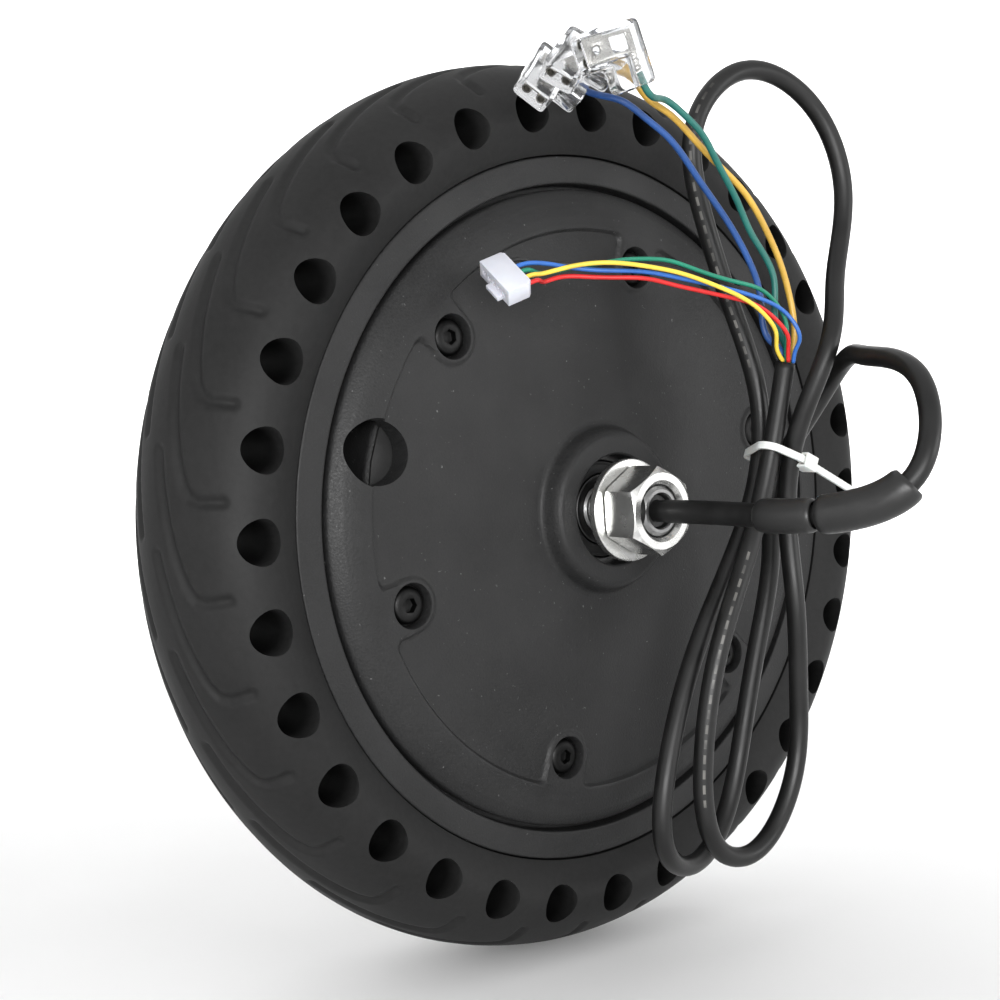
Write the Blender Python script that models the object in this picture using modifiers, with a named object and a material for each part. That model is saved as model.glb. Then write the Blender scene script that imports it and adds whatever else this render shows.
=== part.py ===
"""Hub motor wheel: a brushless motor inside a solid-tyred scooter wheel, with its cable, plugs and axle nuts.

Lengths are millimetres in the constants and metres in the scene. The spin axis is Y, the cable side is -Y,
+Z is up, and the origin is the centre of the wheel on its axle.
"""

import math

import bmesh
import bpy
import numpy as np
from mathutils import Matrix, Vector

MM = 0.001
GAP = 0.3  # clearance left between neighbouring pieces

# Tyre: an 8.5 inch solid tyre with a ring of cushioning holes
TYRE_R = 107.5
TYRE_HALF_WIDTH = 21.5
TYRE_SHOULDER_R = 92.0
TYRE_HOLES = 32
TYRE_HOLE_R = 5.0
TYRE_HOLE_PITCH_R = 93.5
TYRE_HOLE_START = 3.2  # degrees from +X

# Rim shell and side cover
FLANGE_R = 83.5
FLANGE_Y = 18.0
BED_R = 79.0
COVER_R = 75.9
DRUM_IN_R = 54.7
DRUM_OUT_R = 63.5
DRUM_TOP_Y = -13.2
BOSS_R = 18.4
BOSS_Y = 26.0
SCREWS = 6
SCREW_PITCH_R = 59.3
SCREW_START = 19.7
SCREW_SHANK_R = 2.5
SCREW_HEAD_R = 4.25
SCREW_RECESS_R = 4.8
SCREW_SEAT_Y = -16.6
ACCESS_HALF = (7.9, 7.0)  # along the radius and across it
ACCESS_PITCH_R = 66.0
ACCESS_ANGLE = 168.8

# Motor
SLOTS = 27
POLES = 30
STATOR_R = 48.5
STACK_HALF = 10.0
COIL_HALF = 13.8
MAGNET_IN_R = 49.0
MAGNET_OUT_R = 51.3
FLUX_OUT_R = 54.4

# Axle, M12, hollow on the cable side
AXLE_R = 5.8
AXLE_BODY_R = 7.6
AXLE_BODY_Y = 12.3
AXLE_END_Y = 40.0
AXLE_BORE_R = 4.0
AXLE_FLATS = 10.0

# Ball bearings, 12 x 28 x 8
BEARING_Y = 16.6
BEARING_HALF = 4.0
RACE_IN_R = 6.1
RACE_OUT_R = 14.0
BALL_PITCH_R = 10.0
BALL_R = 2.38
BALLS = 8

# Axle hardware
WASHER_R = 12.0
WASHER_Y = (28.6, 30.6)
NUT_Y = (30.9, 40.4)
NUT_ACROSS_FLATS = 18.0

# Motor cable: centre line by hand, from inside the axle to the end of the sheath
CABLE_R = 2.3
CABLE = (
    (0, -14, 0), (0, -40, 0), (0, -60, 0), (1, -78, 0), (9.5, -101, 8.5), (18, -97, 27), (33, -71, 35.5),
    (41, -60.5, 36), (45.5, -47.5, 25), (36, -43.5, 7), (39, -39.5, -12), (38.5, -36, -33.5),
    (35.5, -34, -55.5), (28, -34.5, -76.5), (17.5, -37, -83.5), (-1, -43, -77), (0, -43.5, -53.5),
    (10.5, -42, -31), (21.5, -42, -12.5), (30, -42.5, 7), (32, -41, 27.5), (25, -38.5, 48.5),
    (16, -37.5, 69), (11.5, -38.5, 89), (25, -41.5, 104), (44.5, -46, 98.5), (53, -49.5, 78),
    (46.5, -52.5, 57), (36, -59, 39), (32.5, -53, 19.5), (33.5, -49, -0.5), (35, -50.5, -22),
    (39, -48.5, -43.5), (38.5, -47.5, -65), (22.5, -47, -81.5), (15, -47, -80), (7, -47.5, -51.5),
    (12, -48.5, -27.5), (21, -48.5, -7.5), (30.5, -50.5, 34.5),
)
CABLE_POINTS = 78
SLEEVE_1 = ((55.0, 59.5, 64.0, 68.5), 2.95, 3.75)  # stations along the cable, inner and outer radius
SLEEVE_2 = ((69.5, 73.5, 77.5, 81.5, 85.5, 89.5), 2.95, 4.2)
TIE_CENTRE = (31.7, -46.5, 12.5)
TIE_TILT = 20.0

# Phase wires: where each starts beside the cable's axis, then its centre line to the plug
PHASE_R = 0.75
PHASES = {
    "blue": ((-0.6, 1.5), ((28, -48.5, 39.5), (25.5, -47, 50), (21.5, -47, 58), (14.5, -46.5, 66.5),
             (4, -46.5, 75.5), (-7, -47.5, 83), (-13, -47, 86), (-20, -46, 89))),
    "green": ((1.05, 1.1), ((28, -50, 43), (25.5, -51, 54), (18.5, -50, 64), (13.5, -50.5, 70),
              (3.5, -52.5, 78.5), (-2, -53.5, 83), (-7, -53.5, 86), (-13, -53.5, 88.5))),
    "yellow": ((1.5, -0.5), ((32.5, -51.5, 40.5), (31.5, -51, 49.5), (27, -51, 59), (23, -51, 64.5),
               (14.5, -51, 73), (6.5, -50.5, 78), (-0.5, -50, 82.5), (-10, -50, 87.5), (-15, -49.5, 89.5))),
}
# Phase plugs: centre of the mating end, direction away from it, direction towards the wire
PLUGS = {
    "blue": ((-39.0, -39.5, 88.0), (0.632, 0.268, 0.727), (0.77, -0.328, -0.548)),
    "yellow": ((-38.0, -46.0, 90.5), (0.698, 0.16, 0.698), (0.634, -0.592, -0.497)),
    "green": ((-38.5, -53.5, 93.5), (0.901, -0.251, 0.355), (0.336, -0.113, -0.935)),
}
PLUG_OUTLINE = ((0, -4), (14.2, -4), (14.2, 9.5), (5.6, 9.5), (5.6, 4), (0, 4))
PLUG_CAVITY = ((-1, -3), (13.3, -3), (13.3, 3), (13.5, 3), (13.5, 10), (10.3, 10), (10.3, 3), (-1, 3))
TERMINAL_OUTLINE = ((1, -2.5), (12.6, -2.5), (12.6, 5.8), (10.8, 5.8), (10.8, 2.5), (1, 2.5))

# Sensor wires: where each starts beside the cable's axis, its centre line, and its place in the plug's row
HALL_R = 0.5
HALLS = {
    "black": ((-1.7, 0.7), ((27, -50, 37.5), (25, -51.5, 40.5), (22, -52, 44.5), (19.5, -51.5, 48.5),
              (14, -50, 51), (7, -48, 53), (1.5, -46.5, 54), (-5.5, -44.5, 55), (-13.5, -41.5, 55),
              (-20, -37.5, 54.5), (-26.5, -34, 54.5), (-32.5, -32.5, 54.5)), -4.0),
    "blue": ((0.7, -1.7), ((30.5, -53.5, 37.5), (29.5, -55.5, 40), (28, -55.5, 43), (26, -54, 46),
             (21, -53.5, 48), (14, -52.5, 49.5), (5, -50, 51), (-2.5, -48, 52), (-11, -45, 53),
             (-16, -43, 53), (-21.5, -40, 53), (-27, -37, 53.5), (-33, -35, 54)), -2.0),
    "green": ((-0.05, -0.2), ((29.5, -51.5, 38), (28.5, -52.5, 40.5), (27.5, -53, 44), (24, -52, 49),
              (19.5, -52, 51), (13, -51.5, 52), (7, -50, 53), (1.5, -48, 54.5), (-5, -46, 56),
              (-10, -44.5, 56), (-15.5, -42, 55.5), (-20, -39.5, 54.5), (-25, -36, 53.5),
              (-32.5, -34, 52)), 0.0),
    "yellow": ((-1.65, -0.55), ((25.5, -52, 38), (23.5, -53.5, 41), (19.5, -54, 44.5), (12, -54, 48),
               (3.5, -51.5, 51), (-4, -49, 53), (-11.5, -46.5, 54), (-18, -43.5, 54.5), (-24.5, -40, 54),
               (-30, -37, 52.5), (-33.5, -36, 51.5)), 2.0),
    "red": ((-0.75, -1.45), ((28.5, -53, 38), (26.5, -54.5, 40.5), (23, -54, 44), (15, -53, 47.5),
            (9, -51.5, 48.5), (2, -49.5, 49.5), (-4.5, -47.5, 50.5), (-11.5, -45.5, 51.5), (-17, -42.5, 51.5),
            (-23, -39, 51.5), (-29, -36, 51), (-32, -35.5, 50)), 4.0),
}
HALL_PLUG = (-41.2, -33.7, 50.1)
HALL_PLUG_ROW = (0.043, -0.776, -0.629)
HALL_PLUG_IN = (0.863, -0.288, 0.415)


def start_scene():
    for obj in list(bpy.data.objects):
        bpy.data.objects.remove(obj, do_unlink=True)
    made = []
    for name in ("Hub motor wheel", "Cutters"):
        group = bpy.data.collections.new(name)
        bpy.context.scene.collection.children.link(group)
        made.append(group)
    return made


PARTS, CUTTERS = start_scene()


def material(name, colour, metallic, roughness):
    made = bpy.data.materials.new(name)
    made.use_nodes = True
    shader = made.node_tree.nodes["Principled BSDF"]
    shader.inputs["Base Color"].default_value = (*colour, 1.0)
    shader.inputs["Metallic"].default_value = metallic
    shader.inputs["Roughness"].default_value = roughness
    made.diffuse_color = (*colour, 1.0)
    return made


def place(name, mesh, look):
    """A sub-part of its own if it has a look, otherwise a cutter."""
    obj = bpy.data.objects.new(name, mesh)
    if look is None:
        CUTTERS.objects.link(obj)
        obj.display_type = "WIRE"
        obj.hide_render = True
        return obj
    PARTS.objects.link(obj)
    colour, metallic, roughness = look
    mesh.materials.append(material(name, colour, metallic, roughness))
    return obj


def mesh_of(name, points, faces):
    mesh = bpy.data.meshes.new(name)
    mesh.from_pydata([Vector(p) * MM for p in points], [], faces)
    made = bmesh.new()
    made.from_mesh(mesh)
    bmesh.ops.recalc_face_normals(made, faces=made.faces)
    made.to_mesh(mesh)
    made.free()
    return mesh


def lathe(name, profile, steps, look=None):
    """A closed (radius, y) outline turned about Y by a Screw modifier."""
    area = sum(a[0] * b[1] - b[0] * a[1] for a, b in zip(profile, profile[1:] + profile[:1]))
    if area > 0:
        profile = profile[::-1]
    count = len(profile)
    mesh = bpy.data.meshes.new(name)
    points = [(r * MM, y * MM, 0.0) for r, y in profile]
    mesh.from_pydata(points, [(i, (i + 1) % count) for i in range(count)], [])
    obj = place(name, mesh, look)
    turn = obj.modifiers.new("Turn", "SCREW")
    turn.axis = "Y"
    turn.steps = steps
    turn.render_steps = steps
    turn.use_merge_vertices = True
    turn.merge_threshold = 0.00001
    return obj


def prism(name, outline, low, high, look=None, frame=None):
    """An outline in the frame's first two axes, drawn along its third. The default frame is X, Z and Y."""
    axes = frame or (Vector(), Vector((1, 0, 0)), Vector((0, 0, 1)), Vector((0, 1, 0)))
    centre, first, second, third = axes
    count = len(outline)
    points = [centre + first * a + second * b + third * c for c in (low, high) for a, b in outline]
    faces = [tuple(range(count)), tuple(range(count, 2 * count))]
    faces += [(i, (i + 1) % count, count + (i + 1) % count, count + i) for i in range(count)]
    return place(name, mesh_of(name, points, faces), look)


def circle(radius, count, centre=(0.0, 0.0), start=0.0):
    turns = [math.radians(start) + 2 * math.pi * i / count for i in range(count)]
    return [(centre[0] + radius * math.cos(t), centre[1] + radius * math.sin(t)) for t in turns]


def polar(radius, degrees):
    turn = math.radians(degrees)
    return radius * math.cos(turn), radius * math.sin(turn)


def cylinders(name, pitch_r, start, number, radius, low, high, sides):
    """Cutters or pins along Y, evenly round the axle, in one mesh."""
    points = []
    faces = []
    for place_no in range(number):
        centre = polar(pitch_r, start + 360.0 * place_no / number)
        ring = circle(radius, sides, centre)
        base = len(points)
        points += [(x, y, z) for y in (low, high) for x, z in ring]
        faces.append(tuple(range(base, base + sides)))
        faces.append(tuple(range(base + sides, base + 2 * sides)))
        for i in range(sides):
            j = (i + 1) % sides
            faces.append((base + i, base + j, base + sides + j, base + sides + i))
    return place(name, mesh_of(name, points, faces), None)


def boolean(obj, tool, operation="DIFFERENCE"):
    step = obj.modifiers.new(tool.name, "BOOLEAN")
    step.object = tool
    step.operation = operation
    step.solver = "EXACT"


def smooth(points, count, crowding=0.0, stations=()):
    """Natural cubic spline through the points, sampled closer together where it bends and at the stations."""
    points = np.array(points, float)
    chord = np.linalg.norm(np.diff(points, axis=0), axis=1)
    knots = np.concatenate([[0.0], np.cumsum(chord)])
    last = len(knots) - 1
    system = np.eye(last + 1)
    right = np.zeros((last + 1, 3))
    for i in range(1, last):
        system[i, i - 1:i + 2] = chord[i - 1], 2 * (chord[i - 1] + chord[i]), chord[i]
        right[i] = 6 * ((points[i + 1] - points[i]) / chord[i] - (points[i] - points[i - 1]) / chord[i - 1])
    bend = np.linalg.solve(system, right)
    fine = np.linspace(0.0, knots[-1], 3000)
    span = np.clip(np.searchsorted(knots, fine) - 1, 0, last - 1)
    width = chord[span][:, None]
    a = (knots[span + 1] - fine)[:, None] / width
    b = 1 - a
    path = a * points[span] + b * points[span + 1]
    path += ((a**3 - a) * bend[span] + (b**3 - b) * bend[span + 1]) * width**2 / 6
    curvature = np.linalg.norm(a * bend[span] + b * bend[span + 1], axis=1)
    weight = 1 + crowding * np.sqrt(10 * curvature)
    steps = np.linalg.norm(np.diff(path, axis=0), axis=1)
    reach = np.concatenate([[0.0], np.cumsum(steps)])
    travelled = np.concatenate([[0.0], np.cumsum(steps * (weight[1:] + weight[:-1]) / 2)])
    where = np.interp(np.linspace(0, travelled[-1], count), travelled, np.arange(3000))
    if stations:
        kept = [w for w in where if all(abs(np.interp(w, np.arange(3000), reach) - s) > 2.5 for s in stations)]
        where = np.sort(np.concatenate([kept, np.interp(stations, reach, np.arange(3000))]))
    return np.array([np.interp(where, np.arange(3000), path[:, k]) for k in range(3)]).T


def along(path):
    return np.concatenate([[0.0], np.cumsum(np.linalg.norm(np.diff(path, axis=0), axis=1))])


def tube(name, path, radius, look):
    """A cord: one open poly spline with a round bevel and filled caps."""
    data = bpy.data.curves.new(name, "CURVE")
    data.dimensions = "3D"
    data.bevel_depth = radius * MM
    data.bevel_resolution = 2
    data.use_fill_caps = True
    line = data.splines.new("POLY")
    line.points.add(len(path) - 1)
    for point, place_at in zip(line.points, path):
        point.co = (*(float(v) * MM for v in place_at), 1.0)
    obj = bpy.data.objects.new(name, data)
    PARTS.objects.link(obj)
    colour, metallic, roughness = look
    data.materials.append(material(name, colour, metallic, roughness))
    return obj


def sleeve(name, path, inner, outer, sides, look):
    """A hollow tube that follows a stretch of cable."""
    slopes = np.gradient(np.array(path), axis=0)
    side = Vector((0, 0, 1))
    points = []
    for centre, slope in zip(path, slopes):
        forward = Vector(slope).normalized()
        side = (side - forward * side.dot(forward)).normalized()
        across = forward.cross(side)
        for radius in (inner, outer):
            ring = circle(radius, sides)
            points += [Vector(centre) + side * a + across * b for a, b in ring]
    faces = []
    stations = len(path)
    for i in range(sides):
        j = (i + 1) % sides
        for s in range(stations - 1):
            near = 2 * sides * s
            far = near + 2 * sides
            faces.append((near + i, near + j, far + j, far + i))
            faces.append((near + sides + i, near + sides + j, far + sides + j, far + sides + i))
        for s in (0, stations - 1):
            end = 2 * sides * s
            faces.append((end + i, end + j, end + sides + j, end + sides + i))
    return place(name, mesh_of(name, points, faces), look)


RUBBER = ((0.028, 0.028, 0.028), 0.0, 0.75)
COATED = ((0.035, 0.035, 0.036), 0.3, 0.55)
ALUMINIUM = ((0.62, 0.62, 0.63), 0.9, 0.4)
STEEL = ((0.45, 0.45, 0.46), 1.0, 0.35)
ZINC = ((0.72, 0.72, 0.70), 1.0, 0.28)
BLACK_STEEL = ((0.03, 0.03, 0.03), 0.8, 0.4)
MAGNET = ((0.25, 0.25, 0.27), 0.9, 0.35)
COPPER = ((0.55, 0.2, 0.07), 0.9, 0.35)
BOARD = ((0.02, 0.16, 0.06), 0.0, 0.45)
JACKET = ((0.02, 0.02, 0.02), 0.0, 0.5)
NYLON = ((0.85, 0.85, 0.85), 0.0, 0.35)
CLEAR = ((0.86, 0.88, 0.90), 0.0, 0.1)
TINNED = ((0.7, 0.68, 0.62), 1.0, 0.3)
WIRES = {
    "blue": ((0.02, 0.07, 0.35), 0.0, 0.4),
    "green": ((0.01, 0.18, 0.13), 0.0, 0.4),
    "yellow": ((0.7, 0.45, 0.04), 0.0, 0.4),
    "red": ((0.6, 0.02, 0.02), 0.0, 0.4),
    "black": ((0.015, 0.015, 0.015), 0.0, 0.4),
}


# Bearing boss on the rim shell and, mirrored, on the cover: a rounded shoulder and a lip over the bearing
BOSS = (
    (20.6, 21.1), (19.6, 22.8), (18.9, 24.6), (17.6, BOSS_Y), (13.1, BOSS_Y), (13.1, 20.9),
    (RACE_OUT_R + GAP, 20.9), (RACE_OUT_R + GAP, 10.5), (BOSS_R, 10.5),
)


def build_tyre():
    depth = TYRE_R - TYRE_SHOULDER_R
    arc = []
    for i in range(9):
        turn = math.radians(22.5 * i)
        swell = math.copysign(abs(math.cos(turn)) ** 1.08, math.cos(turn))
        arc.append((TYRE_SHOULDER_R + depth * math.sin(turn) ** 1.08, TYRE_HALF_WIDTH * swell))
    bead = [(FLANGE_R + GAP, 18.2), (FLANGE_R + GAP, 14.8), (BED_R + GAP, 14.4)]
    profile = bead[::-1] + arc + [(r, -y) for r, y in bead]
    tyre = lathe("tyre", profile, 64, RUBBER)
    holes = cylinders(
        "tyre_holes", TYRE_HOLE_PITCH_R, TYRE_HOLE_START, TYRE_HOLES, TYRE_HOLE_R, -30, 30, 8
    )
    boolean(tyre, holes)


def build_rim():
    profile = [
        (77.1, -FLANGE_Y), (FLANGE_R, -FLANGE_Y), (FLANGE_R, -15.1), (BED_R, -14.7), (BED_R, 14.7),
        (FLANGE_R, 15.1), (FLANGE_R, FLANGE_Y), (76.5, FLANGE_Y), (66, 20.3), *BOSS,
        (19.4, 17.0), (DRUM_IN_R, 17.0), (DRUM_IN_R, DRUM_TOP_Y), (62.3, DRUM_TOP_Y), (DRUM_OUT_R, -12.0),
        (DRUM_OUT_R, 14.5), (75.2, 14.5), (75.2, -10.0), (72.5, -11.5), (72.5, -13.8), (77.1, -13.8),
    ]
    rim = lathe("rim_shell", profile, 48, COATED)
    for i in range(SCREWS):
        turn = math.radians(SCREW_START + 60 * i)
        radial = Vector((math.cos(turn), 0, math.sin(turn)))
        tangent = Vector((-math.sin(turn), 0, math.cos(turn)))
        frame = (Vector(), radial, tangent, Vector((0, 1, 0)))
        rib = prism(f"rim_rib_{i + 1}", [(62.5, -2), (76.2, -2), (76.2, 2), (62.5, 2)], -9, 15.5, None, frame)
        boolean(rim, rib, "UNION")
    taps = cylinders("rim_taps", SCREW_PITCH_R, SCREW_START, SCREWS, SCREW_SHANK_R + GAP, -16, 0, 8)
    boolean(rim, taps)


def build_cover():
    profile = [
        (COVER_R, -14.1), (COVER_R, -17.0), (75.0, -17.8), (72.6, -19.3), (69.4, -20.3), (66.4, -20.6),
        (65.9, -19.5), (44, -20.3), *((r, -y) for r, y in BOSS),
        (19.4, -16.6), (53.4, -16.6), (54.2, -14.4), (64.6, -14.4), (65.6, -16.2), (71.4, -16.0),
        (72.8, -14.1),
    ]
    cover = lathe("side_cover", profile, 48, COATED)
    for i in range(SCREWS):
        centre = polar(SCREW_PITCH_R, SCREW_START + 60 * i)
        turn = math.radians(SCREW_START + 60 * i)
        radial = Vector((math.cos(turn), 0, math.sin(turn)))
        tangent = Vector((-math.sin(turn), 0, math.cos(turn)))
        middle = Vector((centre[0], 0, centre[1]))
        lobe = [polar(6.2, a) for a in range(90, 271, 30)]
        pad = lobe + [(7.4, -6.2), (7.4, 6.2)]
        frame = (middle, radial, tangent, Vector((0, 1, 0)))
        boss = prism(f"cover_pad_{i + 1}", pad, -20.45, -17.5, None, frame)
        boolean(cover, boss, "UNION")
    recesses = cylinders(
        "cover_recesses", SCREW_PITCH_R, SCREW_START, SCREWS, SCREW_RECESS_R, -24, SCREW_SEAT_Y, 12
    )
    boolean(cover, recesses)
    bores = cylinders("cover_bores", SCREW_PITCH_R, SCREW_START, SCREWS, SCREW_SHANK_R + GAP, -18, -12, 8)
    boolean(cover, bores)
    x, z = polar(ACCESS_PITCH_R, ACCESS_ANGLE)
    radial = Vector((x, 0, z)).normalized()
    tangent = Vector((-radial.z, 0, radial.x))
    oval = [(ACCESS_HALF[0] * a, ACCESS_HALF[1] * b) for a, b in circle(1.0, 18)]
    frame = (Vector((x, 0, z)), radial, tangent, Vector((0, 1, 0)))
    boolean(cover, prism("cover_access", oval, -26, -12, None, frame))
    gasket = lathe("cover_gasket", [(55.4, -14.1), (63.2, -14.1), (63.2, -13.5), (55.4, -13.5)], 36, RUBBER)
    punched = cylinders("gasket_holes", SCREW_PITCH_R, SCREW_START, SCREWS, SCREW_SHANK_R + GAP, -15, -12, 8)
    boolean(gasket, punched)


def build_screws():
    head_y = SCREW_SEAT_Y - GAP
    for i in range(SCREWS):
        centre = polar(SCREW_PITCH_R, SCREW_START + 60 * i)
        profile = [
            (0, head_y - 2.7), (3.4, head_y - 2.7), (SCREW_HEAD_R, head_y - 2.0), (SCREW_HEAD_R, head_y),
            (SCREW_SHANK_R, head_y), (SCREW_SHANK_R, -2.0), (0, -1.0),
        ]
        screw = lathe(f"cover_screw_{i + 1}", profile, 10, BLACK_STEEL)
        screw.location = (centre[0] * MM, 0, centre[1] * MM)
        key = prism(f"screw_key_{i + 1}", circle(1.73, 6, centre), head_y - 4, head_y - 1.0)
        boolean(screw, key)


def build_magnets():
    lathe(
        "flux_ring",
        [(MAGNET_OUT_R + GAP, -12.5), (FLUX_OUT_R, -12.5), (FLUX_OUT_R, 12.5), (MAGNET_OUT_R + GAP, 12.5)],
        48,
        STEEL,
    )
    pitch = 360.0 / POLES
    teeth = []
    for i in range(POLES):
        middle = pitch * i
        teeth.append(polar(MAGNET_IN_R, middle - 0.42 * pitch))
        teeth.append(polar(MAGNET_IN_R, middle + 0.42 * pitch))
        teeth.append(polar(50.6, middle + 0.45 * pitch))
        teeth.append(polar(50.6, middle + 0.55 * pitch))
    ring = prism("magnet_ring", circle(MAGNET_OUT_R, 30), -11.5, 11.5, MAGNET)
    inside = prism("magnet_inside", teeth, -14, 14)
    boolean(ring, inside)


def build_stator():
    pitch = 360.0 / SLOTS
    outline = []
    for i in range(SLOTS):
        middle = pitch * i + 0.5 * pitch
        half = math.degrees(math.asin(2.3 / 36.5))
        outline.append(polar(36.5, middle - half))
        half = math.degrees(math.asin(2.3 / 46.9))
        outline.append(polar(46.9, middle - half))
        outline.append(polar(STATOR_R, middle - 0.39 * pitch))
        outline.append(polar(STATOR_R, middle + 0.39 * pitch))
        outline.append(polar(46.9, middle + half))
        half = math.degrees(math.asin(2.3 / 36.5))
        outline.append(polar(36.5, middle + half))
    core = prism("stator_core", outline, -STACK_HALF, STACK_HALF, STEEL)
    inside = prism("stator_bore", circle(31.0, 36), -14, 14)
    boolean(core, inside)
    carrier = [
        (AXLE_BODY_R + GAP, -4), (14, -4), (14, -1), (26.5, -1), (26.5, -10), (30.7, -10), (30.7, 10),
        (26.5, 10), (26.5, 5), (14, 5), (14, 10), (AXLE_BODY_R + GAP, 10),
    ]
    lathe("stator_carrier", carrier, 24, ALUMINIUM)


def build_windings():
    """One coil per tooth. Each coil wraps its tooth, and neighbours meet in the slots."""
    pitch = 360.0 / SLOTS
    layers = ((36.8, 2.6), (46.6, 2.6))
    points = []
    per_layer = SLOTS * 10
    for radius, half_width in layers:
        window = math.degrees(math.asin(half_width / radius))
        for i in range(SLOTS):
            middle = pitch * i + 0.5 * pitch
            for sign in (-1, 1):
                for turn, y in ((-0.5 * pitch, 11.4), (-window, COIL_HALF), (window, COIL_HALF)):
                    x, z = polar(radius, middle + turn)
                    points.append((x, sign * y, z))
            for turn, y in ((-window, -10.3), (window, -10.3), (window, 10.3), (-window, 10.3)):
                x, z = polar(radius, middle + turn)
                points.append((x, y, z))
    faces = []
    for i in range(SLOTS):
        a = 10 * i
        b = 10 * ((i + 1) % SLOTS)
        for layer in (0, per_layer):
            low0, low1, low2 = a + layer, a + 1 + layer, a + 2 + layer
            top0, top1, top2 = a + 3 + layer, a + 4 + layer, a + 5 + layer
            w0, w1, w2, w3 = (a + 6 + layer, a + 7 + layer, a + 8 + layer, a + 9 + layer)
            next_low, next_top = b + layer, b + 3 + layer
            faces += [
                (low0, low1, w0), (low0, w0, w3, top0), (w3, top1, top0), (low1, low2, w1, w0),
                (w3, w2, top2, top1), (low2, next_low, w1), (next_low, next_top, w2, w1), (w2, next_top, top2),
            ]
        rim = [(a, a + 1), (a + 1, a + 2), (a + 2, b), (a + 3, a + 4), (a + 4, a + 5), (a + 5, b + 3)]
        rim += [(a + 6, a + 7), (a + 7, a + 8), (a + 8, a + 9), (a + 9, a + 6)]
        faces += [(p, q, q + per_layer, p + per_layer) for p, q in rim]
    place("windings", mesh_of("windings", points, faces), COPPER)


def build_hall_board():
    sector = [polar(50.4, a) for a in range(60, 161, 10)] + [polar(36.3, a) for a in range(160, 59, -10)]
    board = prism("hall_board", sector, -15.4, -14.2, BOARD)
    for i, middle in enumerate((70, 110, 150)):
        turn = math.radians(middle)
        radial = Vector((math.cos(turn), 0, math.sin(turn)))
        tangent = Vector((-math.sin(turn), 0, math.cos(turn)))
        frame = (radial * 48.6, radial, tangent, Vector((0, 1, 0)))
        sensor = prism(
            f"hall_sensor_{i + 1}", [(-1.4, -2), (1.4, -2), (1.4, 2), (-1.4, 2)], -14.8, -12.3, None, frame
        )
        boolean(board, sensor, "UNION")


def build_axle():
    end = AXLE_END_Y
    profile = [
        (0, end), (AXLE_R - 0.7, end), (AXLE_R, end - 0.8), (AXLE_R, AXLE_BODY_Y), (AXLE_BODY_R, AXLE_BODY_Y),
        (AXLE_BODY_R, -AXLE_BODY_Y), (AXLE_R, -AXLE_BODY_Y), (AXLE_R, 0.8 - end), (AXLE_R - 0.7, -end),
        (AXLE_BORE_R, -end), (AXLE_BORE_R, -5.0), (0, -5.0),
    ]
    axle = lathe("axle", profile, 20, STEEL)
    for side in (-1, 1):
        for face in (-1, 1):
            low, high = sorted((side * 27.0, side * 45.0))
            near, far = sorted((face * AXLE_FLATS / 2, face * 12.0))
            flat = prism(
                f"axle_flat_{side}_{face}", [(near, -12), (far, -12), (far, 12), (near, 12)], low, high
            )
            boolean(axle, flat)
    window = prism("axle_window", [(-3, 0.5), (3, 0.5), (3, 12), (-3, 12)], -11.5, -5.6)
    boolean(axle, window)


def build_bearing(side, tag):
    """A deep-groove ball bearing with the balls in their cage, and a seal on each face."""
    groove = BALL_R + GAP
    drop = 1.6
    swing = [math.asin(math.sqrt(1 - (drop / groove) ** 2)) * k for k in (-1, -0.33, 0.33, 1)]
    low = BEARING_Y - BEARING_HALF
    high = BEARING_Y + BEARING_HALF
    inner = [(RACE_IN_R, low), (RACE_IN_R, high), (BALL_PITCH_R - drop, high)]
    inner += [(BALL_PITCH_R - groove * math.cos(t), BEARING_Y - groove * math.sin(t)) for t in swing]
    inner += [(BALL_PITCH_R - drop, low)]
    outer = [(RACE_OUT_R, low), (RACE_OUT_R, high), (BALL_PITCH_R + drop, high)]
    outer += [(BALL_PITCH_R + groove * math.cos(t), BEARING_Y - groove * math.sin(t)) for t in swing]
    outer += [(BALL_PITCH_R + drop, low)]
    lathe(f"{tag}_inner_race", [(r, side * y) for r, y in inner], 24, STEEL)
    lathe(f"{tag}_outer_race", [(r, side * y) for r, y in outer], 24, STEEL)
    cage = [(9.3, -0.9), (10.7, -0.9), (10.7, 0.9), (9.3, 0.9)]
    ring = lathe(f"{tag}_ball_cage", [(r, side * (BEARING_Y + y)) for r, y in cage], 16, STEEL)
    balls = bmesh.new()
    for i in range(BALLS):
        x, z = polar(BALL_PITCH_R, 360.0 * i / BALLS)
        spot = Matrix.Translation(Vector((x, side * BEARING_Y, z)) * MM)
        bmesh.ops.create_uvsphere(balls, u_segments=7, v_segments=4, radius=BALL_R * MM, matrix=spot)
    mesh = bpy.data.meshes.new(f"{tag}_balls")
    balls.to_mesh(mesh)
    balls.free()
    boolean(ring, place(f"{tag}_balls", mesh, None), "UNION")
    for face, name in ((1, "outer_seal"), (-1, "inner_seal")):
        middle = BEARING_Y + face * 3.5
        seal = [(8.7, middle - 0.3), (11.3, middle - 0.3), (11.3, middle + 0.3), (8.7, middle + 0.3)]
        lathe(f"{tag}_{name}", [(r, side * y) for r, y in seal], 16, RUBBER)


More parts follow.
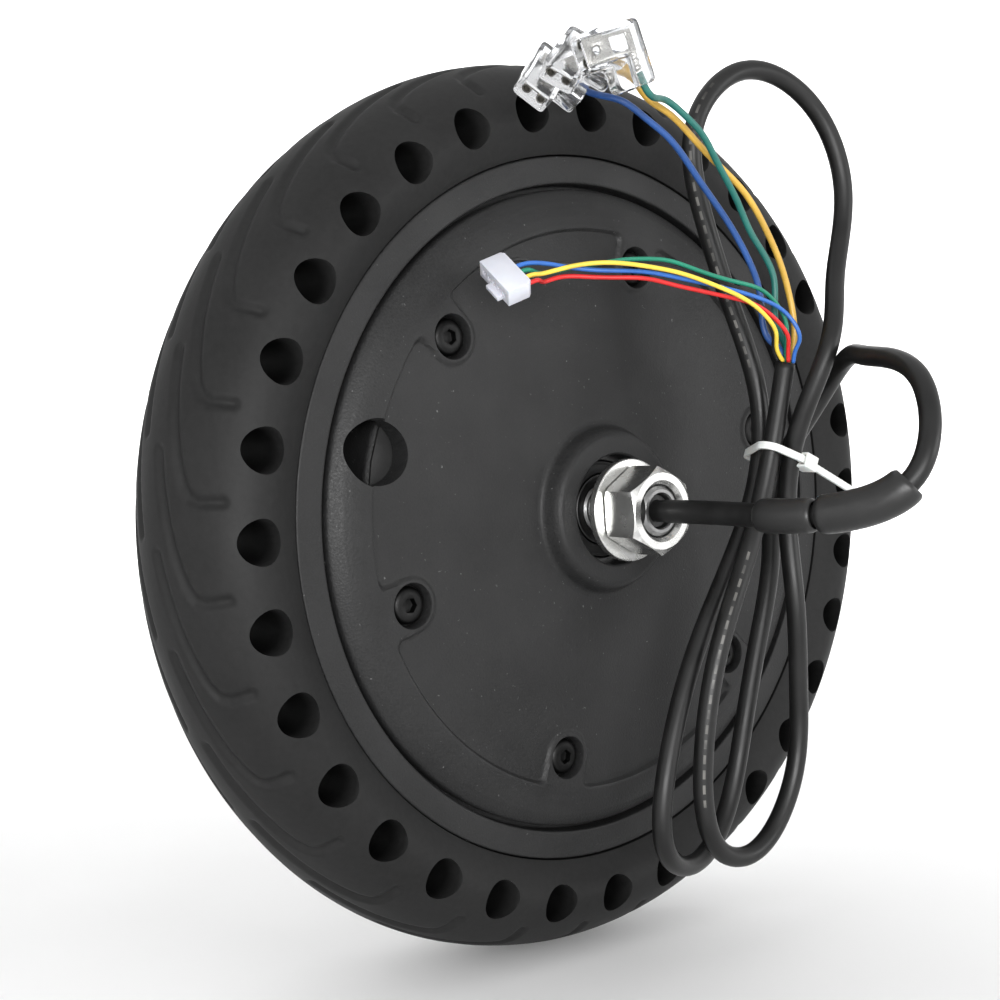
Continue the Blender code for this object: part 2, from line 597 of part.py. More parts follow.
def build_hardware(side, tag):
    washer = [(6.4, WASHER_Y[0]), (WASHER_R, WASHER_Y[0]), (WASHER_R, WASHER_Y[1]), (6.4, WASHER_Y[1])]
    lathe(f"{tag}_washer", [(r, side * y) for r, y in washer], 24, ZINC)
    low, high = sorted((side * NUT_Y[0], side * NUT_Y[1]))
    corner = NUT_ACROSS_FLATS / 2 / math.cos(math.radians(30))
    nut = prism(f"{tag}_nut", circle(corner, 6, start=35), low, high, ZINC)
    cone = [(5.0, NUT_Y[0] - 1), (corner + 0.4, NUT_Y[0] - 1), (corner + 0.4, NUT_Y[1] - 0.8)]
    cone += [(corner - 1.6, NUT_Y[1] + 0.1), (5.0, NUT_Y[1] + 0.1)]
    turned = lathe(f"{tag}_nut_chamfer", [(r, side * y) for r, y in cone], 24)
    boolean(nut, turned, "INTERSECT")
    thread = lathe(
        f"{tag}_nut_bore",
        [(0, side * 20), (6.9, side * 20), (6.9, side * 31.4), (6.15, side * 32.2), (6.15, side * 39.1),
         (6.9, side * 39.9), (6.9, side * 45), (0, side * 45)],
        16,
    )
    boolean(nut, thread)


def build_cable():
    path = smooth(CABLE, CABLE_POINTS, 1.6, SLEEVE_1[0] + SLEEVE_2[0])
    tube("motor_cable", path, CABLE_R, JACKET)
    reach = along(path)
    for name, (stations, inner, outer) in (("heat_shrink_1", SLEEVE_1), ("heat_shrink_2", SLEEVE_2)):
        inside = [i for i in range(len(path)) if stations[0] - 0.3 < reach[i] < stations[-1] + 0.3]
        sleeve(name, path[inside[0]:inside[-1] + 1], inner, outer, 10, JACKET)
    lathe("cable_seal", [(2.6, -38.5), (3.7, -38.5), (3.7, -28), (2.6, -28)], 16, RUBBER)
    leads = [(0, -13.3, 0), (0, -11.6, 0.1), (0, -9.5, 2), (0, -8, 6), (0, -7.8, 13), (0, -8.2, 19.5)]
    leads += [(0, -10.6, 22.8), (0, -13, 26), (0, -13.5, 30), (0, -13.5, 34.2)]
    tube("inner_leads", smooth(leads, 13, 1.0), 1.9, JACKET)
    return path


def build_tie(path):
    tilt = math.radians(TIE_TILT)
    centre = Vector(TIE_CENTRE)
    first = Vector((math.cos(tilt), 0, -math.sin(tilt)))
    second = Vector((0, 1, 0))
    normal = Vector((math.sin(tilt), 0, math.cos(tilt)))
    strands = []
    for a, b in zip(path, path[1:]):
        below = (Vector(a) - centre).dot(normal)
        above = (Vector(b) - centre).dot(normal)
        if below * above < 0 and (Vector(a) - centre).length < 20:
            spot = Vector(a).lerp(Vector(b), below / (below - above)) - centre
            strands.append((spot.dot(first), spot.dot(second)))

    def loop(radius):
        outline = []
        for degrees in range(0, 360, 15):
            u, v = polar(1.0, degrees)
            far = max(strands, key=lambda s: s[0] * u + s[1] * v)
            outline.append((far[0] + radius * u, far[1] + radius * v))
        return outline

    frame = (centre, first, second, normal)
    band = prism("cable_tie", loop(CABLE_R + 1.6), -0.9, 0.9, NYLON, frame)
    head_x = max(s[0] for s in strands) + CABLE_R + 0.7
    head = prism(
        "tie_head", [(head_x - 7.6, -8.8), (head_x - 3.4, -8.8), (head_x - 3.4, -4.6), (head_x - 7.6, -4.6)],
        -1.8, 1.8, None, frame,
    )
    boolean(band, head, "UNION")
    tail = prism(
        "tie_tail", [(head_x - 5, -7.6), (head_x + 15, -6.6), (head_x + 15, -5.6), (head_x - 5, -6.6)],
        -0.9, 0.9, None, frame,
    )
    boolean(band, tail, "UNION")
    hollow = prism("tie_hollow", loop(CABLE_R + 0.7), -5, 5, None, frame)
    boolean(band, hollow)


def unit(vector):
    return Vector(vector).normalized()


def build_phase_wires(start, heading):
    first = unit(Vector((1, 0, 0)) - heading * heading.x)
    second = heading.cross(first)
    for colour, (offset, route) in PHASES.items():
        mouth, inward, down = PLUGS[colour]
        inward = unit(inward)
        down = unit(Vector(down) - inward * inward.dot(Vector(down)))
        mouth = Vector(mouth)
        across = first * offset[0] + second * offset[1]
        points = [start + heading * 0.5 + across, start + heading * 3.0 + across]
        points += [Vector(p) for p in route]
        points += [mouth + inward * 12.6 + down * 10.4, mouth + inward * 11.9 + down * 6.5]
        tube(f"phase_wire_{colour}", smooth(points, 18, 0.5), PHASE_R, WIRES[colour])
        frame = (mouth, inward, down, inward.cross(down))
        shell = prism(f"phase_plug_{colour}", PLUG_OUTLINE, -2.3, 2.3, CLEAR, frame)
        boolean(shell, prism(f"plug_cavity_{colour}", PLUG_CAVITY, -1.5, 1.5, None, frame))
        metal = prism(f"phase_terminal_{colour}", TERMINAL_OUTLINE, -1.1, 1.1, TINNED, frame)
        blade = prism(f"blade_slot_{colour}", [(-1, -1.8), (8, -1.8), (8, 1.8), (-1, 1.8)], -0.45, 0.45, None, frame)
        boolean(metal, blade)


def build_hall_wires(start, heading):
    row = unit(HALL_PLUG_ROW)
    inward = unit(Vector(HALL_PLUG_IN) - row * row.dot(Vector(HALL_PLUG_IN)))
    middle = Vector(HALL_PLUG)
    frame = (middle, row, inward, row.cross(inward))
    body = [(-5.9, -3), (5.9, -3), (5.9, 2.2), (5.1, 3), (-5.1, 3), (-5.9, 2.2)]
    plug = prism("hall_plug", body, -2.0, 2.0, NYLON, frame)
    tab = prism("plug_tab", [(-1.5, -4.3), (3.5, -4.3), (3.5, -2), (-1.5, -2)], -1.8, -0.8, None, frame)
    boolean(plug, tab, "UNION")
    for i in range(5):
        at = 2.0 * i - 4
        square = [(at - 0.55, -5), (at + 0.55, -5), (at + 0.55, 1), (at - 0.55, 1)]
        boolean(plug, prism(f"plug_way_{i + 1}", square, -0.55, 0.55, None, frame))
    first = unit(Vector((1, 0, 0)) - heading * heading.x)
    second = heading.cross(first)
    for colour, (offset, route, seat) in HALLS.items():
        points = [start + heading * 0.4 + first * offset[0] + second * offset[1]]
        points += [Vector(p) for p in route]
        points += [middle + inward * 4.7 + row * seat, middle + inward * 3.3 + row * seat]
        tube(f"hall_wire_{colour}", smooth(points, 16, 0.5), HALL_R, WIRES[colour])


build_tyre()
build_rim()
build_cover()
build_screws()
build_magnets()
build_stator()
build_windings()
build_hall_board()
build_axle()
for side, tag in ((-1, "near"), (1, "far")):
    build_bearing(side, tag)
    build_hardware(side, tag)
CABLE_PATH = build_cable()
build_tie(CABLE_PATH)
SHEATH_END = Vector(CABLE_PATH[-1])
build_phase_wires(SHEATH_END, unit(CABLE_PATH[-1] - CABLE_PATH[-2]))
build_hall_wires(SHEATH_END, unit(CABLE_PATH[-1] - CABLE_PATH[-2]))
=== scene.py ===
"""Hub motor wheel, seen from the cable side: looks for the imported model.

Constants and local geometry are in millimetres; MM turns them into metres. The spin axis is Y, the cable side
is -Y and +Z is up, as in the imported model.
"""

import math

import bmesh
import bpy
import numpy as np
from mathutils import Matrix, Vector


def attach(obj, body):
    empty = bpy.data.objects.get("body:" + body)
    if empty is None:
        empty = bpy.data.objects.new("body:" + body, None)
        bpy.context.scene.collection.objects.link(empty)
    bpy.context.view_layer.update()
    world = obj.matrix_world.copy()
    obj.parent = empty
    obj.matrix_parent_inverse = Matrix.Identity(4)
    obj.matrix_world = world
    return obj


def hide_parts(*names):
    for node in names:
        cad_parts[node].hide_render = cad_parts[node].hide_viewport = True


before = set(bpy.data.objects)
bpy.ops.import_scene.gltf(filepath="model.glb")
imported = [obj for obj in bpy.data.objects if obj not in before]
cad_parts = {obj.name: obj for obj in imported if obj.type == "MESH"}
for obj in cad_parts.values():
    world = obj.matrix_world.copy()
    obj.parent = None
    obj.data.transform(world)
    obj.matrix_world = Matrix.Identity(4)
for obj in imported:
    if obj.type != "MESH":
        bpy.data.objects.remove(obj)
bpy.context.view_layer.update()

MM = 0.001

# ---------------------------------------------------------------------------------------------- camera

CAMERA_AT = (-239.2, -272.3, 10.5)
CAMERA_AZIMUTH = 39.486
CAMERA_DOWN = 1.405
CAMERA_ROLL = 0.246
CAMERA_LENS = 52.23


def make_camera():
    data = bpy.data.cameras.new("camera")
    data.lens = CAMERA_LENS
    data.sensor_width = 36.0
    data.clip_start = 0.01
    data.clip_end = 50.0
    camera = bpy.data.objects.new("camera", data)
    bpy.context.scene.collection.objects.link(camera)
    turn = Matrix.Rotation(math.radians(-CAMERA_AZIMUTH), 4, "Z")
    pitch = Matrix.Rotation(math.radians(90.0 - CAMERA_DOWN), 4, "X")
    roll = Matrix.Rotation(math.radians(CAMERA_ROLL), 4, "Z")
    camera.matrix_world = Matrix.Translation(Vector(CAMERA_AT) * MM) @ turn @ pitch @ roll
    bpy.context.scene.camera = camera


make_camera()

# ---------------------------------------------------------------------------------------------- helpers


def smooth(points, count):
    """Natural cubic spline through the points, evenly sampled."""
    points = np.array(points, float)
    chord = np.linalg.norm(np.diff(points, axis=0), axis=1)
    knots = np.concatenate([[0.0], np.cumsum(chord)])
    last = len(knots) - 1
    system = np.eye(last + 1)
    right = np.zeros((last + 1, 3))
    for i in range(1, last):
        system[i, i - 1:i + 2] = chord[i - 1], 2 * (chord[i - 1] + chord[i]), chord[i]
        right[i] = 6 * ((points[i + 1] - points[i]) / chord[i] - (points[i] - points[i - 1]) / chord[i - 1])
    bend = np.linalg.solve(system, right)
    fine = np.linspace(0.0, knots[-1], 4000)
    span = np.clip(np.searchsorted(knots, fine) - 1, 0, last - 1)
    width = chord[span][:, None]
    a = (knots[span + 1] - fine)[:, None] / width
    b = 1 - a
    path = a * points[span] + b * points[span + 1]
    path += ((a**3 - a) * bend[span] + (b**3 - b) * bend[span + 1]) * width**2 / 6
    reach = along(path)
    at = np.linspace(0, reach[-1], count)
    return np.array([np.interp(at, reach, path[:, k]) for k in range(3)]).T


def along(path):
    return np.concatenate([[0.0], np.cumsum(np.linalg.norm(np.diff(path, axis=0), axis=1))])


def slice_of(path, start, stop, count):
    reach = along(path)
    at = np.linspace(start, stop, count)
    return np.array([np.interp(at, reach, path[:, k]) for k in range(3)]).T


def unit(vector):
    return Vector(vector).normalized()


def polar(radius, degrees):
    turn = math.radians(degrees)
    return radius * math.cos(turn), radius * math.sin(turn)


def circle(radius, count, centre=(0.0, 0.0), start=0.0):
    turns = [math.radians(start) + 2 * math.pi * i / count for i in range(count)]
    return [(centre[0] + radius * math.cos(t), centre[1] + radius * math.sin(t)) for t in turns]


def mesh_from(name, points, faces, flip_check=True):
    mesh = bpy.data.meshes.new(name)
    mesh.from_pydata(np.array(points, float) * MM, [], faces)
    if flip_check:
        made = bmesh.new()
        made.from_mesh(mesh)
        bmesh.ops.recalc_face_normals(made, faces=made.faces)
        made.to_mesh(mesh)
        made.free()
    return mesh


def grid_faces(rings, around, closed_rings=True):
    """Quads over a (rings, around) grid of points, closed around, and closed over the rings if asked."""
    r = np.arange(rings if closed_rings else rings - 1)[:, None]
    a = np.arange(around)[None, :]
    nr = (r + 1) % rings
    na = (a + 1) % around
    quads = np.stack([r * around + a, r * around + na, nr * around + na, nr * around + a], axis=-1)
    return quads.reshape(-1, 4).tolist()


def helper(name, mesh):
    """A cutter: linked so that modifiers see it, and removed before the end."""
    obj = bpy.data.objects.new(name, mesh)
    bpy.context.scene.collection.objects.link(obj)
    obj.hide_render = True
    return obj


def piece(name, mesh, look, body, replaces=(), sharp=35.0):
    obj = bpy.data.objects.new(name, mesh)
    bpy.context.scene.collection.objects.link(obj)
    if isinstance(mesh, bpy.types.Mesh):
        shade(mesh, sharp)
    mesh.materials.clear()
    mesh.materials.append(look)
    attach(obj, body)
    if replaces:
        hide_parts(*replaces)
    return obj


def shade(mesh, sharp):
    mesh.polygons.foreach_set("use_smooth", [True] * len(mesh.polygons))
    if sharp is not None:
        mesh.set_sharp_from_angle(angle=math.radians(sharp))


def cut(mesh, tools, operation="DIFFERENCE"):
    """Mesh Booleans applied at once, so that the piece keeps a plain mesh."""
    obj = helper("cutting", mesh)
    for tool in tools:
        step = obj.modifiers.new(tool.name, "BOOLEAN")
        step.object = tool
        step.operation = operation
        step.solver = "MANIFOLD"
    graph = bpy.context.evaluated_depsgraph_get()
    made = bpy.data.meshes.new_from_object(obj.evaluated_get(graph))
    bpy.data.objects.remove(obj, do_unlink=True)
    for tool in tools:
        bpy.data.objects.remove(tool, do_unlink=True)
    return made


def bevelled(mesh, width, segments=2, angle=30.0):
    """Rounded edges, applied at once."""
    obj = helper("rounding", mesh)
    step = obj.modifiers.new("Round", "BEVEL")
    step.width = width * MM
    step.segments = segments
    step.limit_method = "ANGLE"
    step.angle_limit = math.radians(angle)
    step.use_clamp_overlap = True
    graph = bpy.context.evaluated_depsgraph_get()
    made = bpy.data.meshes.new_from_object(obj.evaluated_get(graph))
    bpy.data.objects.remove(obj, do_unlink=True)
    return made


def lathe(name, profile, steps, centre=(0.0, 0.0)):
    """A closed (radius, y) outline turned about Y."""
    turns = np.linspace(0, 2 * math.pi, steps, endpoint=False)
    profile = np.array(profile, float)
    x = profile[:, :1] * np.cos(turns) + centre[0]
    z = profile[:, :1] * np.sin(turns) + centre[1]
    y = np.repeat(profile[:, 1:], steps, axis=1)
    points = np.stack([x, y, z], axis=-1).reshape(-1, 3)
    mesh = mesh_from(name, points, grid_faces(len(profile), steps), False)
    made = bmesh.new()
    made.from_mesh(mesh)
    bmesh.ops.remove_doubles(made, verts=made.verts, dist=0.000002)
    bmesh.ops.recalc_face_normals(made, faces=made.faces)
    made.to_mesh(mesh)
    made.free()
    return mesh


def rounded(profile, radius, steps=4):
    """A closed outline with its corners rounded off."""
    made = []
    count = len(profile)
    for i in range(count):
        before, here, after = (np.array(profile[(i + k) % count], float) for k in (-1, 0, 1))
        into, out = before - here, after - here
        reach = min(radius, 0.45 * np.linalg.norm(into), 0.45 * np.linalg.norm(out))
        start = here + into / np.linalg.norm(into) * reach
        end = here + out / np.linalg.norm(out) * reach
        for t in np.linspace(0, 1, steps + 1):
            made.append(tuple((1 - t) ** 2 * start + 2 * t * (1 - t) * here + t**2 * end))
    return made


def prism(name, outline, low, high, frame_axes=None):
    axes = frame_axes or (Vector(), Vector((1, 0, 0)), Vector((0, 0, 1)), Vector((0, 1, 0)))
    centre, first, second, third = axes
    count = len(outline)
    points = [centre + first * a + second * b + third * c for c in (low, high) for a, b in outline]
    faces = [tuple(range(count)), tuple(range(count, 2 * count))]
    faces += [(i, (i + 1) % count, count + (i + 1) % count, count + i) for i in range(count)]
    return mesh_from(name, [tuple(p) for p in points], faces)


def tube_mesh(name, path, radius, sides, inner=None):
    """A round tube along a path with UVs in millimetres along it. radius may be a number or one per point."""
    path = np.array(path, float)
    slopes = np.gradient(path, axis=0)
    radii = np.broadcast_to(radius, len(path))
    side = Vector((0.2, 0.1, 1))
    rings = []
    for centre, slope, size in zip(path, slopes, radii):
        forward = Vector(slope).normalized()
        side = (side - forward * side.dot(forward)).normalized()
        across = forward.cross(side)
        ring = [Vector(centre) + side * a + across * b for a, b in circle(float(size), sides)]
        rings.append([tuple(p) for p in ring])
    reach = along(path)
    points = [p for ring in rings for p in ring]
    faces = grid_faces(len(rings), sides, False)
    if inner is None:
        faces += [tuple(range(sides)), tuple(range(len(points) - sides, len(points)))]
    else:
        outer = len(points)
        side = Vector((0.2, 0.1, 1))
        for centre, slope in zip(path, slopes):
            forward = Vector(slope).normalized()
            side = (side - forward * side.dot(forward)).normalized()
            across = forward.cross(side)
            points += [tuple(Vector(centre) + side * a + across * b) for a, b in circle(inner, sides)]
        faces += [tuple(outer + i for i in f) for f in grid_faces(len(rings), sides, False)]
        last = len(path) - 1
        for base in (0, last * sides):
            for i in range(sides):
                j = (i + 1) % sides
                faces.append((base + i, base + j, outer + base + j, outer + base + i))
    mesh = mesh_from(name, points, faces)
    layer = mesh.uv_layers.new(name="along")
    for poly in mesh.polygons:
        corners = [mesh.loops[i].vertex_index for i in poly.loop_indices]
        turns = [(v % sides) / sides for v in corners]
        wrap = max(turns) - min(turns) > 0.5
        for loop, vertex, turn in zip(poly.loop_indices, corners, turns):
            ring = (vertex // sides) % len(path)
            value = turn + 1 if wrap and turn < 0.5 else turn
            layer.data[loop].uv = (reach[ring], value)
    return mesh


# -------------------------------------------------------------------------------------------- materials


class Look:
    """A Principled material with short helpers for its procedural detail."""

    def __init__(self, name, colour, roughness, metallic=0.0, **sockets):
        self.material = bpy.data.materials.new(name)
        self.material.use_nodes = True
        self.nodes = self.material.node_tree.nodes
        self.links = self.material.node_tree.links
        self.shader = self.nodes["Principled BSDF"]
        self.put("Base Color", (*colour, 1.0))
        self.put("Roughness", roughness)
        self.put("Metallic", metallic)
        for socket, value in sockets.items():
            self.put(socket.replace("_", " "), value)
        self.where = self.nodes.new("ShaderNodeTexCoord").outputs["Object"]
        self.bump_from = None

    def put(self, socket, value):
        self.shader.inputs[socket].default_value = value

    def noise(self, size_mm, detail=3.0, rough=0.5, where=None):
        node = self.nodes.new("ShaderNodeTexNoise")
        node.inputs["Scale"].default_value = 1000.0 / size_mm
        node.inputs["Detail"].default_value = detail
        node.inputs["Roughness"].default_value = rough
        self.links.new(where or self.where, node.inputs["Vector"])
        return node.outputs["Fac"]

    def voronoi(self, size_mm, output="Distance"):
        node = self.nodes.new("ShaderNodeTexVoronoi")
        node.inputs["Scale"].default_value = 1000.0 / size_mm
        self.links.new(self.where, node.inputs["Vector"])
        return node.outputs[output]

    def span(self, value, low, high, to_low=0.0, to_high=1.0):
        node = self.nodes.new("ShaderNodeMapRange")
        node.inputs["From Min"].default_value = low
        node.inputs["From Max"].default_value = high
        node.inputs["To Min"].default_value = to_low
        node.inputs["To Max"].default_value = to_high
        self.links.new(value, node.inputs["Value"])
        return node.outputs["Result"]

    def math(self, operation, a, b):
        node = self.nodes.new("ShaderNodeMath")
        node.operation = operation
        for slot_no, value in enumerate((a, b)):
            if isinstance(value, (int, float)):
                node.inputs[slot_no].default_value = value
            else:
                self.links.new(value, node.inputs[slot_no])
        return node.outputs[0]

    def colour(self, factor, low, high):
        """A mix of two colours, each a fixed one or another node's."""
        node = self.nodes.new("ShaderNodeMix")
        node.data_type = "RGBA"
        for key, value in (("A", low), ("B", high)):
            if isinstance(value, tuple):
                node.inputs[key].default_value = (*value, 1.0)
            else:
                self.links.new(value, node.inputs[key])
        self.links.new(factor, node.inputs["Factor"])
        return node.outputs["Result"]

    def set(self, socket, value):
        self.links.new(value, self.shader.inputs[socket])
        return self

    def bump(self, height, distance_mm, strength=1.0):
        node = self.nodes.new("ShaderNodeBump")
        node.inputs["Strength"].default_value = strength
        node.inputs["Distance"].default_value = distance_mm * MM
        self.links.new(height, node.inputs["Height"])
        if self.bump_from:
            self.links.new(self.bump_from, node.inputs["Normal"])
        self.bump_from = node.outputs["Normal"]
        self.links.new(self.bump_from, self.shader.inputs["Normal"])
        return self


def rubber_look():
    look = Look("tyre_rubber", (0.02, 0.02, 0.02), 0.6, Specular_IOR_Level=0.22)
    cloud = look.noise(26, 4, 0.6)
    fine = look.noise(1.3, 3, 0.6)
    tone = look.math("ADD", look.span(cloud, 0.3, 0.7, 0.0, 0.6), look.span(fine, 0.3, 0.7, 0.0, 0.4))
    body = look.colour(tone, (0.006, 0.006, 0.006), (0.014, 0.014, 0.014))
    # Painted shade: deep in the bores, near the middle plane and inside the hole radius, the colour goes
    # near-black, standing in for the shade inside them
    place = look.nodes.new("ShaderNodeSeparateXYZ")
    look.links.new(look.where, place.inputs[0])
    x, y, z = place.outputs
    reach = look.math("ADD", look.math("MULTIPLY", x, x), look.math("MULTIPLY", z, z))
    depth = look.span(look.math("MULTIPLY", y, y), 0.0155 ** 2, 0.019 ** 2, 1.0, 0.0)
    # inside is the painted shade mask for the bores
    inside = look.math("MULTIPLY", depth, look.math("LESS_THAN", reach, 0.0985 ** 2))
    look.set("Base Color", look.colour(inside, body, (0.0015, 0.0015, 0.0015)))
    look.set("Roughness", look.span(cloud, 0.3, 0.7, 0.5, 0.66))
    look.bump(fine, 0.05, 0.6)
    look.bump(cloud, 0.2, 0.2)
    return look.material


def coated_look():
    look = Look("powder_coat", (0.015, 0.015, 0.015), 0.5, 0.0, Specular_IOR_Level=0.3)
    grain = look.voronoi(0.55)
    fine = look.noise(0.5, 2, 0.5)
    cloud = look.noise(22, 4, 0.6)
    speck = look.noise(0.9, 2, 0.5)
    tone = look.math("ADD", look.span(cloud, 0.25, 0.75, 0.0, 0.6), look.span(fine, 0.35, 0.65, 0.0, 0.4))
    body = look.colour(tone, (0.006, 0.006, 0.0062), (0.019, 0.019, 0.0192))
    # Pale grey specks at random small spots over the coat
    pale_specks = look.span(speck, 0.72, 0.8)
    look.set("Base Color", look.colour(pale_specks, body, (0.12, 0.12, 0.12)))
    look.set("Roughness", look.span(fine, 0.3, 0.7, 0.4, 0.62))
    look.bump(grain, 0.07, 0.55)
    look.bump(cloud, 0.12, 0.2)
    return look.material


def zinc_look():
    look = Look("bright_zinc", (0.72, 0.72, 0.71), 0.28, 1.0)
    cloud = look.noise(4, 2, 0.5)
    fine = look.noise(0.5, 2, 0.5)
    look.set("Base Color", look.colour(look.span(cloud, 0.3, 0.7), (0.62, 0.62, 0.6), (0.7, 0.7, 0.69)))
    look.set("Roughness", look.span(cloud, 0.3, 0.7, 0.24, 0.29))
    look.bump(fine, 0.004, 0.4)
    return look.material


def steel_look(name, colour, roughness, grain=0.4):
    look = Look(name, colour, roughness, 1.0)
    cloud = look.noise(6, 3, 0.6)
    fine = look.noise(grain, 2, 0.5)
    dark = tuple(v * 0.75 for v in colour)
    light = tuple(min(1.0, v * 1.2) for v in colour)
    look.set("Base Color", look.colour(look.span(cloud, 0.3, 0.7), dark, light))
    look.set("Roughness", look.span(fine, 0.3, 0.7, roughness - 0.07, roughness + 0.1))
    look.bump(fine, 0.012, 0.5)
    return look.material


def plastic_look(name, colour, roughness, grain=0.6, depth=0.02, spread=0.25, **sockets):
    look = Look(name, colour, roughness, 0.0, **sockets)
    cloud = look.noise(7, 3, 0.6)
    fine = look.noise(grain, 2, 0.5)
    dark = tuple(v * (1 - spread) for v in colour)
    light = tuple(min(1.0, v * (1 + spread)) for v in colour)
    look.set("Base Color", look.colour(look.span(cloud, 0.3, 0.7), dark, light))
    look.set("Roughness", look.span(fine, 0.3, 0.7, roughness - 0.06, roughness + 0.08))
    look.bump(fine, depth, 0.5)
    return look.material


def jacket_look():
    """Cable jacket: satin black with worn pale dashes printed along two stretches."""
    look = Look("cable_jacket", (0.01, 0.01, 0.01), 0.42, Specular_IOR_Level=0.35)
    fine = look.noise(0.5, 2, 0.5)
    cloud = look.noise(9, 3, 0.6)
    place = look.nodes.new("ShaderNodeUVMap")
    place.uv_map = "along"
    split = look.nodes.new("ShaderNodeSeparateXYZ")
    look.links.new(place.outputs["UV"], split.inputs[0])
    reach, turn = split.outputs[0], split.outputs[1]
    beat = look.math("FRACT", look.math("DIVIDE", reach, 3.4), 0.0)
    dash = look.math("LESS_THAN", beat, 0.6)
    worn = look.span(look.noise(6, 2, 0.5), 0.35, 0.65, 0.15, 1.0)
    printed = None
    for start, stop, middle in ((438, 508, 0.535), (762, 822, 0.46)):
        band = look.math("COMPARE", turn, middle)
        band.node.inputs[2].default_value = 0.022
        stretch = look.math("COMPARE", reach, (start + stop) / 2)
        stretch.node.inputs[2].default_value = (stop - start) / 2
        mark = look.math("MULTIPLY", band, stretch)
        printed = mark if printed is None else look.math("ADD", printed, mark)
    printed = look.math("MULTIPLY", look.math("MULTIPLY", printed, dash), worn)
    body = look.colour(look.span(cloud, 0.3, 0.7), (0.005, 0.005, 0.005), (0.009, 0.009, 0.009))
    look.set("Base Color", look.colour(look.math("MULTIPLY", printed, 0.45), body, (0.3, 0.29, 0.27)))
    look.set("Roughness", look.span(cloud, 0.3, 0.7, 0.32, 0.48))
    look.bump(fine, 0.02, 0.5)
    return look.material


def clear_look():
    look = Look("clear_nylon", (0.97, 0.98, 0.99), 0.05, 0.0, IOR=1.42, Transmission_Weight=0.97)
    cloud = look.noise(3, 3, 0.6)
    look.set("Roughness", look.span(cloud, 0.3, 0.7, 0.03, 0.09))
    look.set("Base Color", look.colour(cloud, (0.94, 0.96, 0.98), (0.99, 0.99, 1.0)))
    look.bump(look.noise(0.8, 2, 0.5), 0.015, 0.5)
    return look.material


RUBBER = rubber_look()
COATED = coated_look()
ZINC = zinc_look()
AXLE_STEEL = steel_look("axle_steel", (0.24, 0.24, 0.24), 0.38)
BLACK_STEEL = steel_look("black_oxide", (0.022, 0.022, 0.022), 0.42)
BEARING_STEEL = steel_look("bearing_steel", (0.12, 0.12, 0.12), 0.35)
JACKET = jacket_look()
SHRINK = plastic_look("heat_shrink", (0.01, 0.01, 0.01), 0.38, 0.8, 0.03)
TIE = plastic_look("tie_nylon", (0.75, 0.75, 0.72), 0.4, 0.5, 0.01, 0.08, Subsurface_Weight=0.1)
CLEAR = clear_look()
TERMINAL = steel_look("tinned_terminal", (0.62, 0.6, 0.56), 0.3)
WHITE = plastic_look("white_nylon", (0.56, 0.55, 0.6), 0.38, 0.5, 0.01, 0.05, Subsurface_Weight=0.1)
SEAL = plastic_look("seal_rubber", (0.012, 0.012, 0.012), 0.55, 0.5, 0.02)
WIRE_COLOURS = {
    "phase_blue": (0.02, 0.075, 0.26),
    "phase_green": (0.012, 0.12, 0.1),
    "phase_yellow": (0.55, 0.33, 0.05),
    "hall_black": (0.012, 0.012, 0.012),
    "hall_blue": (0.025, 0.12, 0.42),
    "hall_green": (0.01, 0.2, 0.12),
    "hall_yellow": (0.78, 0.56, 0.06),
    "hall_red": (0.55, 0.015, 0.015),
}
WIRE_LOOKS = {
    name: plastic_look(f"{name}_insulation", colour, 0.36, 0.6, 0.01, 0.15)
    for name, colour in WIRE_COLOURS.items()
}

# ------------------------------------------------------------------------------------------------ cords

CABLE_R = 2.3
CABLE = (
    (0, -14, 0), (0, -40, 0), (0, -60, 0), (1, -78, 0), (9.5, -101, 8.5), (18, -97, 27), (33, -71, 35.5),
    (41, -60.5, 36), (45.5, -47.5, 25), (36, -43.5, 7), (39, -39.5, -12), (38.5, -36, -33.5),
    (35.5, -34, -55.5), (28, -34.5, -76.5), (17.5, -37, -83.5), (-1, -43, -77), (0, -43.5, -53.5),
    (10.5, -42, -31), (21.5, -42, -12.5), (30, -42.5, 7), (32, -41, 27.5), (25, -38.5, 48.5),
    (16, -37.5, 69), (11.5, -38.5, 89), (25, -41.5, 104), (44.5, -46, 98.5), (53, -49.5, 78),
    (46.5, -52.5, 57), (36, -59, 39), (32.5, -53, 19.5), (33.5, -49, -0.5), (35, -50.5, -22),
    (39, -48.5, -43.5), (38.5, -47.5, -65), (22.5, -47, -81.5), (15, -47, -80), (7, -47.5, -51.5),
    (12, -48.5, -27.5), (21, -48.5, -7.5), (30.5, -50.5, 34.5),
)
SLEEVE_1 = (55.0, 68.5, 2.95, 3.75)
SLEEVE_2 = (69.5, 89.5, 2.95, 4.2)
TIE_CENTRE = (31.7, -46.5, 12.5)
TIE_TILT = 20.0

PHASE_R = 0.75
PHASES = {
    "blue": ((-0.6, 1.5), ((28, -48.5, 39.5), (25.5, -47, 50), (21.5, -47, 58), (14.5, -46.5, 66.5),
             (4, -46.5, 75.5), (-7, -47.5, 83), (-13, -47, 86), (-20, -46, 89))),
    "green": ((1.05, 1.1), ((28, -50, 43), (25.5, -51, 54), (18.5, -50, 64), (13.5, -50.5, 70),
              (3.5, -52.5, 78.5), (-2, -53.5, 83), (-7, -53.5, 86), (-13, -53.5, 88.5))),
    "yellow": ((1.5, -0.5), ((32.5, -51.5, 40.5), (31.5, -51, 49.5), (27, -51, 59), (23, -51, 64.5),
               (14.5, -51, 73), (6.5, -50.5, 78), (-0.5, -50, 82.5), (-10, -50, 87.5), (-15, -49.5, 89.5))),
}
